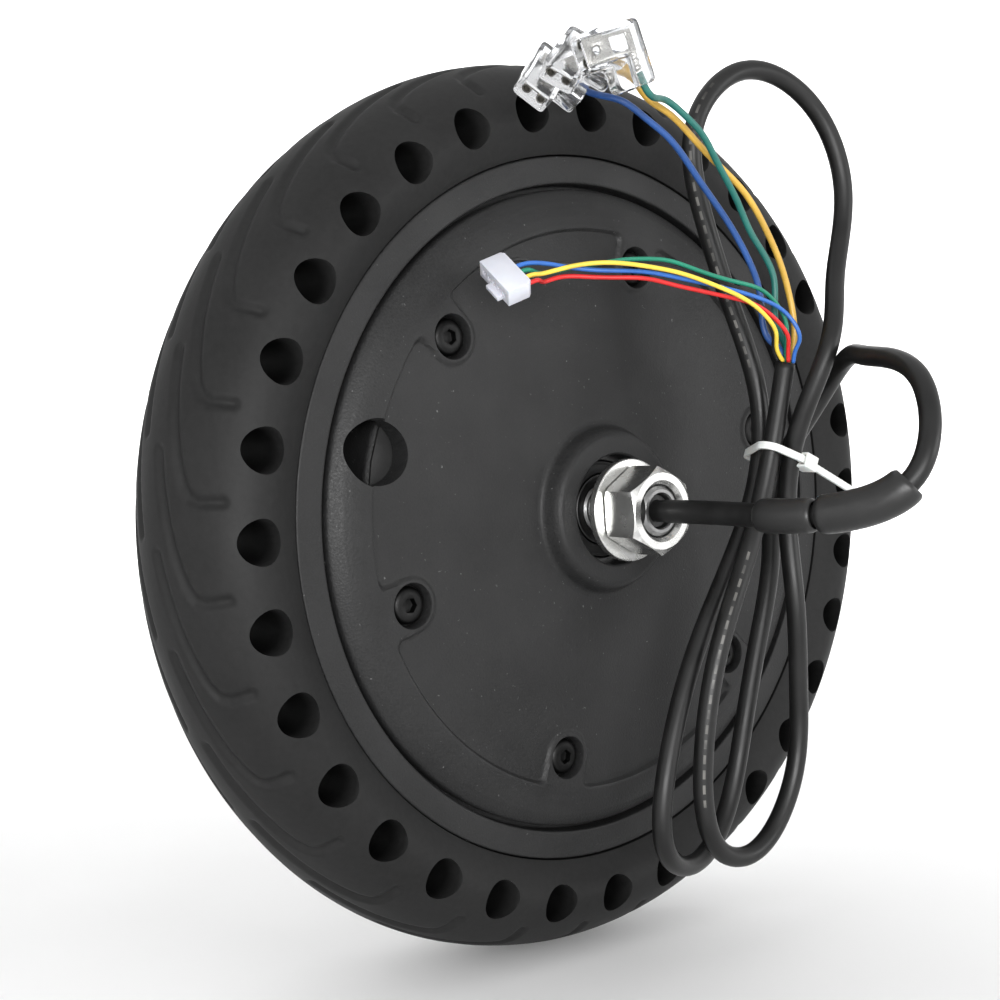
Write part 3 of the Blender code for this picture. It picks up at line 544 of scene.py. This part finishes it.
# Phase plugs: centre of the mating end, direction away from it, direction towards the wire
PLUGS = {
    "blue": ((-39.0, -39.5, 88.0), (0.632, 0.268, 0.727), (0.77, -0.328, -0.548)),
    "yellow": ((-38.0, -46.0, 90.5), (0.698, 0.16, 0.698), (0.634, -0.592, -0.497)),
    "green": ((-38.5, -53.5, 93.5), (0.901, -0.251, 0.355), (0.336, -0.113, -0.935)),
}

HALL_R = 0.5
HALLS = {
    "black": ((-1.7, 0.7), ((27, -50, 37.5), (25, -51.5, 40.5), (22, -52, 44.5), (19.5, -51.5, 48.5),
              (14, -50, 51), (7, -48, 53), (1.5, -46.5, 54), (-5.5, -44.5, 55), (-13.5, -41.5, 55),
              (-20, -37.5, 54.5), (-26.5, -34, 54.5), (-32.5, -32.5, 54.5)), -4.0),
    "blue": ((0.7, -1.7), ((30.5, -53.5, 37.5), (29.5, -55.5, 40), (28, -55.5, 43), (26, -54, 46),
             (21, -53.5, 48), (14, -52.5, 49.5), (5, -50, 51), (-2.5, -48, 52), (-11, -45, 53),
             (-16, -43, 53), (-21.5, -40, 53), (-27, -37, 53.5), (-33, -35, 54)), -2.0),
    "green": ((-0.05, -0.2), ((29.5, -51.5, 38), (28.5, -52.5, 40.5), (27.5, -53, 44), (24, -52, 49),
              (19.5, -52, 51), (13, -51.5, 52), (7, -50, 53), (1.5, -48, 54.5), (-5, -46, 56),
              (-10, -44.5, 56), (-15.5, -42, 55.5), (-20, -39.5, 54.5), (-25, -36, 53.5),
              (-32.5, -34, 52)), 0.0),
    "yellow": ((-1.65, -0.55), ((25.5, -52, 38), (23.5, -53.5, 41), (19.5, -54, 44.5), (12, -54, 48),
               (3.5, -51.5, 51), (-4, -49, 53), (-11.5, -46.5, 54), (-18, -43.5, 54.5), (-24.5, -40, 54),
               (-30, -37, 52.5), (-33.5, -36, 51.5)), 2.0),
    "red": ((-0.75, -1.45), ((28.5, -53, 38), (26.5, -54.5, 40.5), (23, -54, 44), (15, -53, 47.5),
            (9, -51.5, 48.5), (2, -49.5, 49.5), (-4.5, -47.5, 50.5), (-11.5, -45.5, 51.5), (-17, -42.5, 51.5),
            (-23, -39, 51.5), (-29, -36, 51), (-32, -35.5, 50)), 4.0),
}
HALL_PLUG = (-41.2, -33.7, 50.1)
HALL_PLUG_ROW = (0.043, -0.776, -0.629)
HALL_PLUG_IN = (0.863, -0.288, 0.415)

FIXED = "axle_unit"
TURNING = "wheel"


def make_cable():
    """The sheathed cable, a little stouter between the axle and the first sleeve."""
    path = smooth(CABLE, 620)
    size = np.interp(along(path), (0, 26, 30, 57, 60), (2.5, 2.5, 2.7, 2.65, CABLE_R))
    mesh = tube_mesh("motor_cable_look", path, size, 20)
    cable = piece("motor_cable_look", mesh, JACKET, FIXED, ["motor_cable"], None)
    return cable, path


def make_sleeves(path):
    made = []
    for no, (start, stop, inner, outer) in enumerate((SLEEVE_1, SLEEVE_2), 1):
        line = slice_of(path, start, stop, 40)
        reach = along(line)
        ends = np.minimum(reach, reach[-1] - reach)
        size = outer - 0.6 * np.exp(-ends / 0.5)
        mesh = tube_mesh(f"heat_shrink_{no}_look", line, size, 24, inner)
        name = f"heat_shrink_{no}"
        made.append(piece(f"{name}_look", mesh, SHRINK, FIXED, [name], 50))
    return made


def make_tie(path):
    tilt = math.radians(TIE_TILT)
    centre = Vector(TIE_CENTRE)
    first = Vector((math.cos(tilt), 0, -math.sin(tilt)))
    second = Vector((0, 1, 0))
    normal = Vector((math.sin(tilt), 0, math.cos(tilt)))
    strands = []
    for a, b in zip(path, path[1:]):
        below = (Vector(a) - centre).dot(normal)
        above = (Vector(b) - centre).dot(normal)
        if below * above < 0 and (Vector(a) - centre).length < 20:
            spot = Vector(a).lerp(Vector(b), below / (below - above)) - centre
            strands.append((spot.dot(first), spot.dot(second)))

    def loop(radius):
        outline = []
        for degrees in range(0, 360, 5):
            u, v = polar(1.0, degrees)
            far = max(strands, key=lambda s: s[0] * u + s[1] * v)
            outline.append((far[0] + radius * u, far[1] + radius * v))
        return outline

    axes = (centre, first, second, normal)
    band = cut(
        prism("band", loop(CABLE_R + 1.5), -0.85, 0.85, axes),
        [helper("hollow", prism("hollow", loop(CABLE_R + 0.65), -5, 5, axes))],
    )
    band = bevelled(band, 0.2)
    look = piece("cable_tie_look", band, TIE, FIXED, ["cable_tie"])
    head_x = max(s[0] for s in strands) + CABLE_R + 0.7
    head = [(head_x - 7.6, -8.8), (head_x - 3.4, -8.8), (head_x - 3.4, -4.6), (head_x - 7.6, -4.6)]
    slot_box = [(head_x - 8, -8.0), (head_x - 3, -8.0), (head_x - 3, -6.3), (head_x - 8, -6.3)]
    slit = helper("slit", prism("slit", slot_box, -1.15, 1.15, axes))
    block = cut(prism("head", head, -1.8, 1.8, axes), [slit])
    head_piece = piece("cable_tie_head", bevelled(block, 0.35, 3), TIE, FIXED, ())
    tail = [(head_x - 8.6, -7.7)]
    teeth = 26
    for i in range(teeth):
        t = i / teeth
        tail.append((head_x - 7.6 + 22.0 * t, -7.6 + 1.1 * t + (0.12 if i % 2 else 0.0)))
    tail += [(head_x + 15.0, -6.2), (head_x + 15.0, -5.6), (head_x - 8.6, -6.8)]
    strip = bevelled(prism("tail", tail, -0.85, 0.85, axes), 0.08, 1)
    tail_piece = piece("cable_tie_tail", strip, TIE, FIXED, ())
    return [look, head_piece, tail_piece]


def make_phase_plug(colour):
    mouth, inward, down = PLUGS[colour]
    inward = unit(inward)
    down = unit(Vector(down) - inward * inward.dot(Vector(down)))
    mouth = Vector(mouth)
    thick = inward.cross(down)
    axes = (mouth, inward, down, thick)
    outline = [(0, -4), (14.2, -4), (14.2, 9.5), (5.6, 9.5), (5.6, 4), (0, 4)]
    cavity = [(-1, -3), (13.3, -3), (13.3, 3), (13.5, 3), (13.5, 10), (10.3, 10), (10.3, 3), (-1, 3)]
    shell = prism("shell", rounded(outline, 1.4), -2.3, 2.3, axes)
    shell = cut(shell, [helper("cavity", prism("cavity", cavity, -1.55, 1.55, axes))])
    shell = bevelled(shell, 0.3, 2)
    name = f"phase_plug_{colour}"
    plug = piece(f"{name}_look", shell, CLEAR, FIXED, [name])
    opening = [(7.0, -1.7), (11.0, -1.7), (11.0, 1.7), (7.0, 1.7)]
    window = helper("window", prism("window", opening, -3, 3, axes))
    dimple = helper("dimple", prism("dimple", circle(0.9, 24, (3.6, 0.0)), -3, 3, axes))
    plate = prism("plate", [(0.9, -2.4), (12.4, -2.4), (12.4, 2.4), (0.9, 2.4)], -1.1, -0.6, axes)
    plate = bevelled(cut(plate, [window, dimple]), 0.1, 2)
    name = f"phase_terminal_{colour}"
    parts = [plug, piece(f"{name}_look", plate, TERMINAL, FIXED, [name])]
    for side in (-1, 1):
        line = [tuple(mouth + inward * v + down * 1.85 * side) for v in np.linspace(0.7, 6.0, 8)]
        curl = tube_mesh("curl", line, 1.1, 24, 0.75)
        name = f"phase_curl_{colour}_{'lower' if side > 0 else 'upper'}"
        parts.append(piece(name, curl, TERMINAL, FIXED, (), 40))
    barrel = [mouth + inward * 11.7 + down * v for v in np.linspace(1.4, 6.0, 24)]
    wave = np.array([0.95 + 0.12 * math.cos(i * 0.9) for i in range(24)])
    crimp = tube_mesh("crimp", [tuple(p) for p in barrel], wave, 16)
    parts.append(piece(f"phase_crimp_{colour}", crimp, TERMINAL, FIXED, (), None))
    return mouth, inward, down, parts


def make_phase_wires(start, heading):
    first = unit(Vector((1, 0, 0)) - heading * heading.x)
    second = heading.cross(first)
    made = []
    for colour, (offset, route) in PHASES.items():
        mouth, inward, down, parts = make_phase_plug(colour)
        across = first * offset[0] + second * offset[1]
        points = [start + heading * 0.5 + across, start + heading * 3.0 + across]
        points += [Vector(p) for p in route]
        points += [mouth + inward * 12.6 + down * 10.4, mouth + inward * 11.9 + down * 6.5]
        path = smooth([tuple(p) for p in points], 120)
        name = f"phase_wire_{colour}"
        mesh = tube_mesh(f"{name}_look", path, PHASE_R, 14)
        slot = f"phase_{colour}"
        wire = piece(f"{name}_look", mesh, WIRE_LOOKS[slot], FIXED, [name], None)
        made += parts
    return made


def make_hall_plug():
    row = unit(HALL_PLUG_ROW)
    inward = unit(Vector(HALL_PLUG_IN) - row * row.dot(Vector(HALL_PLUG_IN)))
    middle = Vector(HALL_PLUG)
    axes = (middle, row, inward, row.cross(inward))
    body = [(-5.9, -3), (5.9, -3), (5.9, 2.2), (5.1, 3), (-5.1, 3), (-5.9, 2.2)]
    shell = prism("plug_body", body, -2.0, 2.0, axes)
    tools = []
    for i in range(5):
        at = 2.0 * i - 4
        square = [(at - 0.5, -5), (at + 0.5, -5), (at + 0.5, 1), (at - 0.5, 1)]
        tools.append(helper(f"way_{i}", prism(f"way_{i}", square, -0.5, 0.5, axes)))
        back = [(at - 0.75, 2.2), (at + 0.75, 2.2), (at + 0.75, 4.0), (at - 0.75, 4.0)]
        tools.append(helper(f"back_{i}", prism(f"back_{i}", back, -0.9, 0.9, axes)))
    shell = bevelled(cut(shell, tools), 0.2, 2)
    plug = piece("hall_plug_look", shell, WHITE, FIXED, ["hall_plug"])
    tab = [(-1.5, -4.3), (3.5, -4.3), (3.5, -2.5), (-1.5, -2.5)]
    tab = bevelled(prism("tab", tab, -1.9, -0.8, axes), 0.25)
    tab_piece = piece("hall_plug_tab", tab, WHITE, FIXED, ())
    return row, inward, middle, [plug, tab_piece]


def make_hall_wires(start, heading):
    row, inward, middle, parts = make_hall_plug()
    first = unit(Vector((1, 0, 0)) - heading * heading.x)
    second = heading.cross(first)
    for colour, (offset, route, seat) in HALLS.items():
        points = [start + heading * 0.4 + first * offset[0] + second * offset[1]]
        points += [Vector(p) for p in route]
        points += [middle + inward * 4.7 + row * seat, middle + inward * 3.3 + row * seat]
        path = smooth([tuple(p) for p in points], 130)
        name = f"hall_wire_{colour}"
        mesh = tube_mesh(f"{name}_look", path, HALL_R, 12)
        look = WIRE_LOOKS[f"hall_{colour}"]
        wire = piece(f"{name}_look", mesh, look, FIXED, [name], None)
    return parts


cable, cable_path = make_cable()
on_cable = make_sleeves(cable_path) + make_tie(cable_path)
sheath_end = Vector(cable_path[-1])
sheath_heading = unit(cable_path[-1] - cable_path[-4])
on_cable += make_phase_wires(sheath_end, sheath_heading)
on_cable += make_hall_wires(sheath_end, sheath_heading)

# ------------------------------------------------------------------------------------------------- tyre

TYRE_R = 107.5
TYRE_HALF = 21.5
SHOULDER_R = 92.0
HOLES = 32
HOLE_START = 3.2
HOLE_PITCH_R = 93.5
TREAD_STEPS = 44
# One tread groove: how far round in hole pitches, and how far across from the middle plane
GROOVE = (
    (-0.9, 3.2), (-0.56, 4.8), (-0.18, 6.7), (0.2, 8.9), (0.42, 10.5), (0.54, 12.0), (0.585, 13.8),
    (0.575, 17.6),
)


def tyre_profile():
    depth = TYRE_R - SHOULDER_R
    arc = []
    for turn in np.linspace(0, math.pi, 133):
        swell = math.copysign(abs(math.cos(turn)) ** 1.08, math.cos(turn))
        arc.append((SHOULDER_R + depth * math.sin(turn) ** 1.08 if 0 < turn < math.pi else SHOULDER_R,
                    TYRE_HALF * swell))
    wall = [(83.8, 18.2), (85.0, 18.9), (86.5, 19.7), (88.0, 20.4), (89.5, 21.0), (91.0, 21.4)]
    bead = [(79.3, 14.4), (83.8, 14.8)]
    return bead + wall + arc + [(r, -y) for r, y in wall[::-1]] + [(r, -y) for r, y in bead[::-1]]


def groove_depths(profile):
    """Depth of the tread grooves over one hole pitch, as a (profile point, step) array."""
    profile = np.array(profile)
    reach = along(profile)
    depths = np.zeros((len(profile), TREAD_STEPS))
    pitch = math.radians(360.0 / HOLES) * 105.0
    upper = profile[:, 0] > 96.0
    order = np.argsort(profile[upper][:, 1])
    across = profile[upper][:, 1][order]
    lengths = reach[upper][order]
    phase = np.arange(TREAD_STEPS) / TREAD_STEPS
    for side in (-1, 1):
        line = np.array([(p * pitch * -side, np.interp(side * y, across, lengths)) for p, y in GROOVE])
        for turn in (-2, -1, 0, 1, 2):
            u = (phase + turn) * pitch
            spots = np.stack(np.broadcast_arrays(u[None, :], reach[:, None]), axis=-1)
            nearest = np.full(depths.shape, 99.0)
            for a, b in zip(line, line[1:]):
                step = b - a
                t = np.clip(((spots - a) @ step) / (step @ step), 0, 1)
                gap = np.linalg.norm(spots - (a + t[..., None] * step), axis=-1)
                nearest = np.minimum(nearest, gap)
            shape = np.clip(1 - nearest / 1.9, 0, 1)
            shape = shape * shape * (3 - 2 * shape)
            depths = np.maximum(depths, 0.85 * shape * (profile[:, :1] > 94.0))
    return depths


def make_tyre():
    profile = np.array(tyre_profile())
    depths = np.tile(groove_depths(profile), (1, HOLES))
    slopes = np.gradient(profile, axis=0)
    normals = np.stack([slopes[:, 1], -slopes[:, 0]], axis=-1)
    normals /= np.linalg.norm(normals, axis=1)[:, None]
    outward = normals[len(normals) // 2][0] > 0
    normals = normals if outward else -normals
    count = HOLES * TREAD_STEPS
    start = math.radians(HOLE_START)
    turns = start + np.linspace(0, 2 * math.pi, count, endpoint=False)
    radius = profile[:, :1] - depths * normals[:, :1]
    y = profile[:, 1:] - depths * normals[:, 1:]
    points = np.stack([radius * np.cos(turns), y, radius * np.sin(turns)], axis=-1).reshape(-1, 3)
    body = mesh_from("tyre_look", points, grid_faces(len(profile), count))
    bore = [(0, -26), (5.1, -26), (4.9, -21.6), (4.65, -20.9), (4.55, -20.0), (4.55, -14)]
    bore += [(r, -y) for r, y in bore[::-1]]
    tools = []
    for i in range(HOLES):
        centre = polar(HOLE_PITCH_R, HOLE_START + 360.0 * i / HOLES)
        tools.append(lathe(f"bore_{i}", bore, 28, centre))
    joined = bmesh.new()
    for tool in tools:
        joined.from_mesh(tool)
    holes = bpy.data.meshes.new("tyre_bores")
    joined.to_mesh(holes)
    joined.free()
    piece("tyre_look", cut(body, [helper("tyre_bores", holes)]), RUBBER, TURNING, ["tyre"], 50)


make_tyre()

# ----------------------------------------------------------------------------------- rim shell and cover

SCREWS = 6
SCREW_PITCH_R = 59.3
SCREW_START = 19.7
ACCESS_ANGLE = 168.8


def make_rim():
    profile = [
        (77.1, -18.0), (83.5, -18.0), (83.5, -15.1), (79.0, -14.7), (79.0, 14.7),
        (83.5, 15.1), (83.5, 18.0), (76.5, 18.0), (66, 20.3), (20.6, 21.1), (19.6, 22.8), (18.9, 24.6),
        (17.6, 26.0), (13.1, 26.0), (13.1, 20.9), (14.3, 20.9), (14.3, 10.5), (18.4, 10.5),
        (19.4, 17.0), (54.7, 17.0), (54.7, -13.2), (62.3, -13.2), (63.5, -12.0),
        (63.5, 14.5), (75.2, 14.5), (75.2, -10.0), (72.5, -11.5), (72.5, -13.8), (77.1, -13.8),
    ]
    rim = lathe("rim_look", rounded(profile, 0.6, 4), 240)
    ribs = []
    for i in range(SCREWS):
        turn = math.radians(SCREW_START + 60 * i)
        radial = Vector((math.cos(turn), 0, math.sin(turn)))
        tangent = Vector((-math.sin(turn), 0, math.cos(turn)))
        axes = (Vector(), radial, tangent, Vector((0, 1, 0)))
        outline = [(62.5, -2), (76.2, -2), (76.2, 2), (62.5, 2)]
        ribs.append(helper(f"rib_{i}", prism(f"rib_{i}", outline, -9, 15.5, axes)))
    rim = cut(rim, ribs, "UNION")
    piece("rim_shell_look", rim, COATED, TURNING, ["rim_shell"], 30)


# The cover's raised edge ring starts at EDGE_R, and bulges inward in a lobe round each screw
EDGE_R = 66.1
LOBE_R = 6.1


def cover_height(radius, turns):
    """The cover's outer face: boss, shallow dome, step, and raised ring with a lobe round each screw."""
    r = radius[:, None]
    a = turns[None, :]
    dome = np.interp(
        r,
        (13.1, 13.5, 17.0, 17.7, 18.3, 18.8, 19.2, 19.5, 19.9, 20.4, 21.2, 22.5, 40, 66, 90),
        (-25.6, -26.0, -26.0, -25.85, -25.4, -24.7, -23.8, -22.9, -21.9, -21.35, -21.12, -21.05, -20.75,
         -19.55, -19.2),
    )
    dome = np.broadcast_to(dome, (len(radius), len(turns)))
    ring = np.interp(r, (0, 63, 66.0, 67.2, 69.4, 71.2, 72.8, 74.2, 75.2, 75.7, 75.9),
                     (-20.6, -20.6, -20.65, -20.6, -20.3, -19.85, -19.3, -18.5, -17.8, -17.35, -17.0))
    ring = np.broadcast_to(ring, dome.shape)
    x = r * np.cos(a)
    z = r * np.sin(a)
    inside = np.broadcast_to(r - EDGE_R, dome.shape)
    for i in range(SCREWS):
        turn = math.radians(SCREW_START + 60 * i)
        forward = x * math.cos(turn) + z * math.sin(turn) - SCREW_PITCH_R
        aside = -x * math.sin(turn) + z * math.cos(turn)
        ahead = np.clip(forward, 0, 12)
        lobe = LOBE_R - np.hypot(forward - ahead, aside)
        lobe = np.where(x * math.cos(turn) + z * math.sin(turn) > 0, lobe, -50)
        blend = 2.2
        h = np.clip(0.5 + 0.5 * (inside - lobe) / blend, 0, 1)
        inside = lobe * (1 - h) + inside * h + blend * h * (1 - h)
    m = np.clip(0.5 + inside / 0.9, 0, 1)
    m = m * m * (3 - 2 * m)
    return dome * (1 - m) + ring * m


def make_cover():
    around = 720
    turns = np.linspace(0, 2 * math.pi, around, endpoint=False)
    face_r = np.concatenate([np.linspace(13.1, 22, 44), np.linspace(22.5, 51.5, 30), np.linspace(52, 68, 50),
                             np.linspace(68.4, 75.9, 22)])
    heights = cover_height(face_r, turns)
    back = [
        (75.9, -14.3), (75.7, -14.1), (72.8, -14.1), (71.4, -16.0), (65.6, -16.2), (64.6, -14.4),
        (54.2, -14.4), (53.4, -16.6), (19.4, -16.6), (18.4, -10.5), (14.3, -10.5), (14.3, -20.9),
        (13.1, -20.9),
    ]
    radii = np.concatenate([face_r, [r for r, _ in back]])
    levels = np.concatenate([heights, np.repeat(np.array([[y] for _, y in back]), around, axis=1)])
    x = radii[:, None] * np.cos(turns)
    z = radii[:, None] * np.sin(turns)
    points = np.stack([x, levels, z], axis=-1).reshape(-1, 3)
    body = mesh_from("cover_body", points, grid_faces(len(radii), around))
    tools = []
    recess = [(0, -26), (6.2, -26), (5.25, -20.9), (4.85, -20.2), (4.8, -16.9), (4.5, -16.6), (2.8, -16.6),
              (2.8, -10), (0, -10)]
    for i in range(SCREWS):
        tools.append(lathe(f"recess_{i}", recess, 48, polar(SCREW_PITCH_R, SCREW_START + 60 * i)))
    access = lathe("access", [(0, -26), (9.0, -26), (7.25, -20.3), (7.0, -19.7), (7.0, -10), (0, -10)], 72)
    x, z = polar(66.0, ACCESS_ANGLE)
    access.transform(Matrix.Diagonal((7.9 / 7.0, 1, 1, 1)))
    access.transform(Matrix.Rotation(math.radians(-ACCESS_ANGLE), 4, "Y"))
    access.transform(Matrix.Translation(Vector((x, 0, z)) * MM))
    tools.append(access)
    joined = bmesh.new()
    for tool in tools:
        joined.from_mesh(tool)
    holes = bpy.data.meshes.new("cover_bores")
    joined.to_mesh(holes)
    joined.free()
    cover = cut(body, [helper("cover_bores", holes)])
    piece("side_cover_look", cover, COATED, TURNING, ["side_cover"], 40)


def make_screws():
    head = SCREW_SEAT - 0.3
    profile = [
        (0, head - 2.7), (2.6, head - 2.7), (3.5, head - 2.5), (4.1, head - 1.9), (4.25, head - 1.1),
        (4.25, head), (2.5, head), (2.5, -2), (0, -1),
    ]
    for i in range(SCREWS):
        centre = polar(SCREW_PITCH_R, SCREW_START + 60 * i)
        body = lathe(f"screw_{i}", profile, 48, centre)
        key = prism(f"key_{i}", circle(1.75, 6, centre, 20 * i), head - 4, head - 1.0)
        mesh = bevelled(cut(body, [helper(f"key_{i}", key)]), 0.12, 2, 40)
        name = f"cover_screw_{i + 1}"
        piece(f"{name}_look", mesh, BLACK_STEEL, TURNING, [name], 35)


SCREW_SEAT = -16.6
make_rim()
make_cover()
make_screws()

# ------------------------------------------------------------------------------------- axle and hardware


def make_axle():
    ridge = []
    y = 39.2
    while y > 21.5:
        ridge += [(5.8, y), (5.8, y - 0.35), (5.25, y - 0.85), (5.25, y - 1.05), (5.8, y - 1.55)]
        y -= 1.75
    end = [(0, 40.0), (4.9, 40.0), (5.6, 39.4)]
    far = end + ridge + [(5.8, 12.3), (7.6, 12.3)]
    near_ridge = [(r, -y) for r, y in ridge[::-1]]
    near = [(7.6, -12.3), (5.8, -12.3)] + near_ridge
    near += [(5.6, -39.4), (5.0, -40.0), (4.3, -40.0), (4.0, -39.6), (4.0, -5.0), (0, -5.0)]
    body = lathe("axle_look", far + near, 96)
    tools = []
    for side in (-1, 1):
        for face in (-1, 1):
            low, high = sorted((side * 27.0, side * 45.0))
            a, b = sorted((face * 5.0, face * 12.0))
            block = [(a, -12), (b, -12), (b, 12), (a, 12)]
            tools.append(helper(f"flat_{side}_{face}", prism("flat", block, low, high)))
    opening = [(-3, 0.5), (3, 0.5), (3, 12), (-3, 12)]
    tools.append(helper("axle_window", prism("window", opening, -11.5, -5.6)))
    piece("axle_look", cut(body, tools), AXLE_STEEL, FIXED, ["axle"], 30)


def make_hardware(side, tag):
    washer = rounded([(6.4, 28.6), (12.0, 28.6), (12.0, 30.6), (6.4, 30.6)], 0.35, 4)
    mesh = lathe("washer", [(r, side * y) for r, y in washer], 128)
    piece(f"{tag}_washer_look", mesh, ZINC, FIXED, [f"{tag}_washer"], 40)
    corner = 9.0 / math.cos(math.radians(30))
    low, high = sorted((side * 30.9, side * 40.4))
    hexagon = prism("nut", circle(corner, 6, start=35), low, high)
    cone = [(3, 30.2), (corner - 0.7, 30.2), (corner - 0.7, 30.9), (corner + 0.6, 31.9), (corner + 0.6, 39.1)]
    cone += [(corner - 1.6, 40.4), (corner - 1.6, 41.1), (3, 41.1)]
    turned = lathe("cone", [(r, side * y) for r, y in cone], 128)
    mesh = cut(hexagon, [helper("cone", turned)], "INTERSECT")
    bore = [(0, 27), (7.2, 27), (7.2, 30.8), (6.2, 31.8)]
    y = 31.8
    while y < 38.7:
        bore += [(6.2, y + 0.3), (6.6, y + 0.85), (6.6, y + 1.0), (6.2, y + 1.55)]
        y += 1.75
    bore += [(6.2, 39.4), (7.2, 40.5), (7.2, 47), (0, 47)]
    mesh = cut(mesh, [helper("bore", lathe("bore", [(r, side * y) for r, y in bore], 96))])
    mesh = bevelled(mesh, 0.25, 2, 40)
    piece(f"{tag}_nut_look", mesh, ZINC, FIXED, [f"{tag}_nut"], 30)


def make_bearing_faces(side, tag):
    races = {
        "outer_race": ([(14.0, 12.6), (14.0, 20.6), (11.6, 20.6), (11.6, 19.0), (12.5, 18.0), (12.7, 16.6),
                        (12.5, 15.2), (11.6, 14.2), (11.6, 12.6)], TURNING),
        "inner_race": ([(6.1, 12.6), (6.1, 20.6), (8.4, 20.6), (8.4, 19.0), (7.5, 18.0), (7.3, 16.6),
                        (7.5, 15.2), (8.4, 14.2), (8.4, 12.6)], FIXED),
    }
    for name, (profile, body) in races.items():
        mesh = lathe(name, [(r, side * y) for r, y in rounded(profile, 0.35, 3)], 96)
        piece(f"{tag}_{name}_look", mesh, BEARING_STEEL, body, [f"{tag}_{name}"], 35)
    seal = [(8.7, 19.8), (8.7, 20.3), (9.4, 20.4), (10.6, 20.2), (11.0, 20.4), (11.3, 20.4), (11.3, 19.8)]
    mesh = lathe("seal", [(r, side * y) for r, y in seal], 96)
    piece(f"{tag}_outer_seal_look", mesh, SEAL, TURNING, [f"{tag}_outer_seal"], 35)


make_axle()
for side, tag in ((-1, "near"), (1, "far")):
    make_hardware(side, tag)
    make_bearing_faces(side, tag)

# ------------------------------------------------------------------------------------------ inner pieces

INNER = {
    "flux_ring": steel_look("flux_steel", (0.35, 0.35, 0.36), 0.4),
    "stator_core": steel_look("lamination_steel", (0.4, 0.4, 0.41), 0.42),
    "magnet_ring": steel_look("magnet_plate", (0.3, 0.3, 0.32), 0.3),
    "stator_carrier": steel_look("cast_alloy", (0.6, 0.6, 0.61), 0.45),
    "windings": steel_look("copper_windings", (0.55, 0.2, 0.07), 0.35),
    "hall_board": plastic_look("circuit_board", (0.02, 0.16, 0.06), 0.4),
    "cable_seal": SEAL,
    "cover_gasket": SEAL,
    "inner_leads": plastic_look("inner_lead_jacket", (0.02, 0.02, 0.02), 0.45),
}
for tag in ("near", "far"):
    INNER[f"{tag}_inner_seal"] = SEAL
    INNER[f"{tag}_ball_cage"] = BEARING_STEEL
for name, look in INNER.items():
    node = bpy.data.objects[name]
    node.data.materials.clear()
    node.data.materials.append(look)

# ------------------------------------------------------------------------------------- floor and light


def make_stage():
    size = 3.0
    floor_z = -0.1076
    mesh = bpy.data.meshes.new("floor")
    rows = []
    for i in range(25):
        t = i / 24
        if t < 0.5:
            rows.append((-2.2 + 2 * t * (2.2 + 1.6), floor_z))
        else:
            turn = (t - 0.5) * 2 * math.pi / 2
            rows.append((1.6 + 1.2 * math.sin(turn), floor_z + 1.2 * (1 - math.cos(turn))))
    rows.append((2.8, 3.5))
    away = Vector((math.sin(math.radians(CAMERA_AZIMUTH)), math.cos(math.radians(CAMERA_AZIMUTH)), 0))
    across = Vector((away.y, -away.x, 0))
    points = []
    for reach, level in rows:
        for side in (-size, size):
            points.append(tuple(away * reach + across * side + Vector((0, 0, level))))
    faces = [(2 * i, 2 * i + 1, 2 * i + 3, 2 * i + 2) for i in range(len(rows) - 1)]
    mesh.from_pydata(points, [], faces)
    shade(mesh, None)
    look = Look("pale_floor", (0.9, 0.9, 0.9), 0.6)
    look.set("Roughness", look.span(look.noise(40), 0.3, 0.7, 0.55, 0.65))
    mesh.materials.append(look.material)
    floor = bpy.data.objects.new("floor", mesh)
    bpy.context.scene.collection.objects.link(floor)


def area_light(name, at, toward, size, power, colour=(1, 1, 1)):
    data = bpy.data.lights.new(name, "AREA")
    data.shape = "RECTANGLE"
    data.size = size[0]
    data.size_y = size[1]
    data.energy = power
    data.color = colour
    light = bpy.data.objects.new(name, data)
    bpy.context.scene.collection.objects.link(light)
    aim = Vector(toward) - Vector(at)
    light.matrix_world = Matrix.Translation(Vector(at)) @ aim.to_track_quat("-Z", "Y").to_matrix().to_4x4()


def make_light():
    world = bpy.data.worlds.new("studio")
    bpy.context.scene.world = world
    world.use_nodes = True
    background = world.node_tree.nodes["Background"]
    background.inputs["Color"].default_value = (1, 1, 1, 1)
    background.inputs["Strength"].default_value = 0.7
    area_light("key", (-0.7, -1.0, 0.1), (0, 0, -0.05), (0.9, 0.35), 11)
    area_light("left", (-1.1, 0.1, 0.1), (0, 0, 0), (0.4, 0.9), 1.0)
    area_light("fill", (0.7, -1.0, 0.2), (0, 0, 0), (0.8, 0.4), 2.5)
    area_light("backdrop", (0.9, 1.1, 1.1), (1.4, 1.7, 0.1), (1.6, 1.0), 36)


make_stage()
make_light()
bpy.context.scene.view_settings.view_transform = "Standard"
bpy.context.scene.view_settings.look = "None"
bpy.context.scene.view_settings.exposure = 0.3
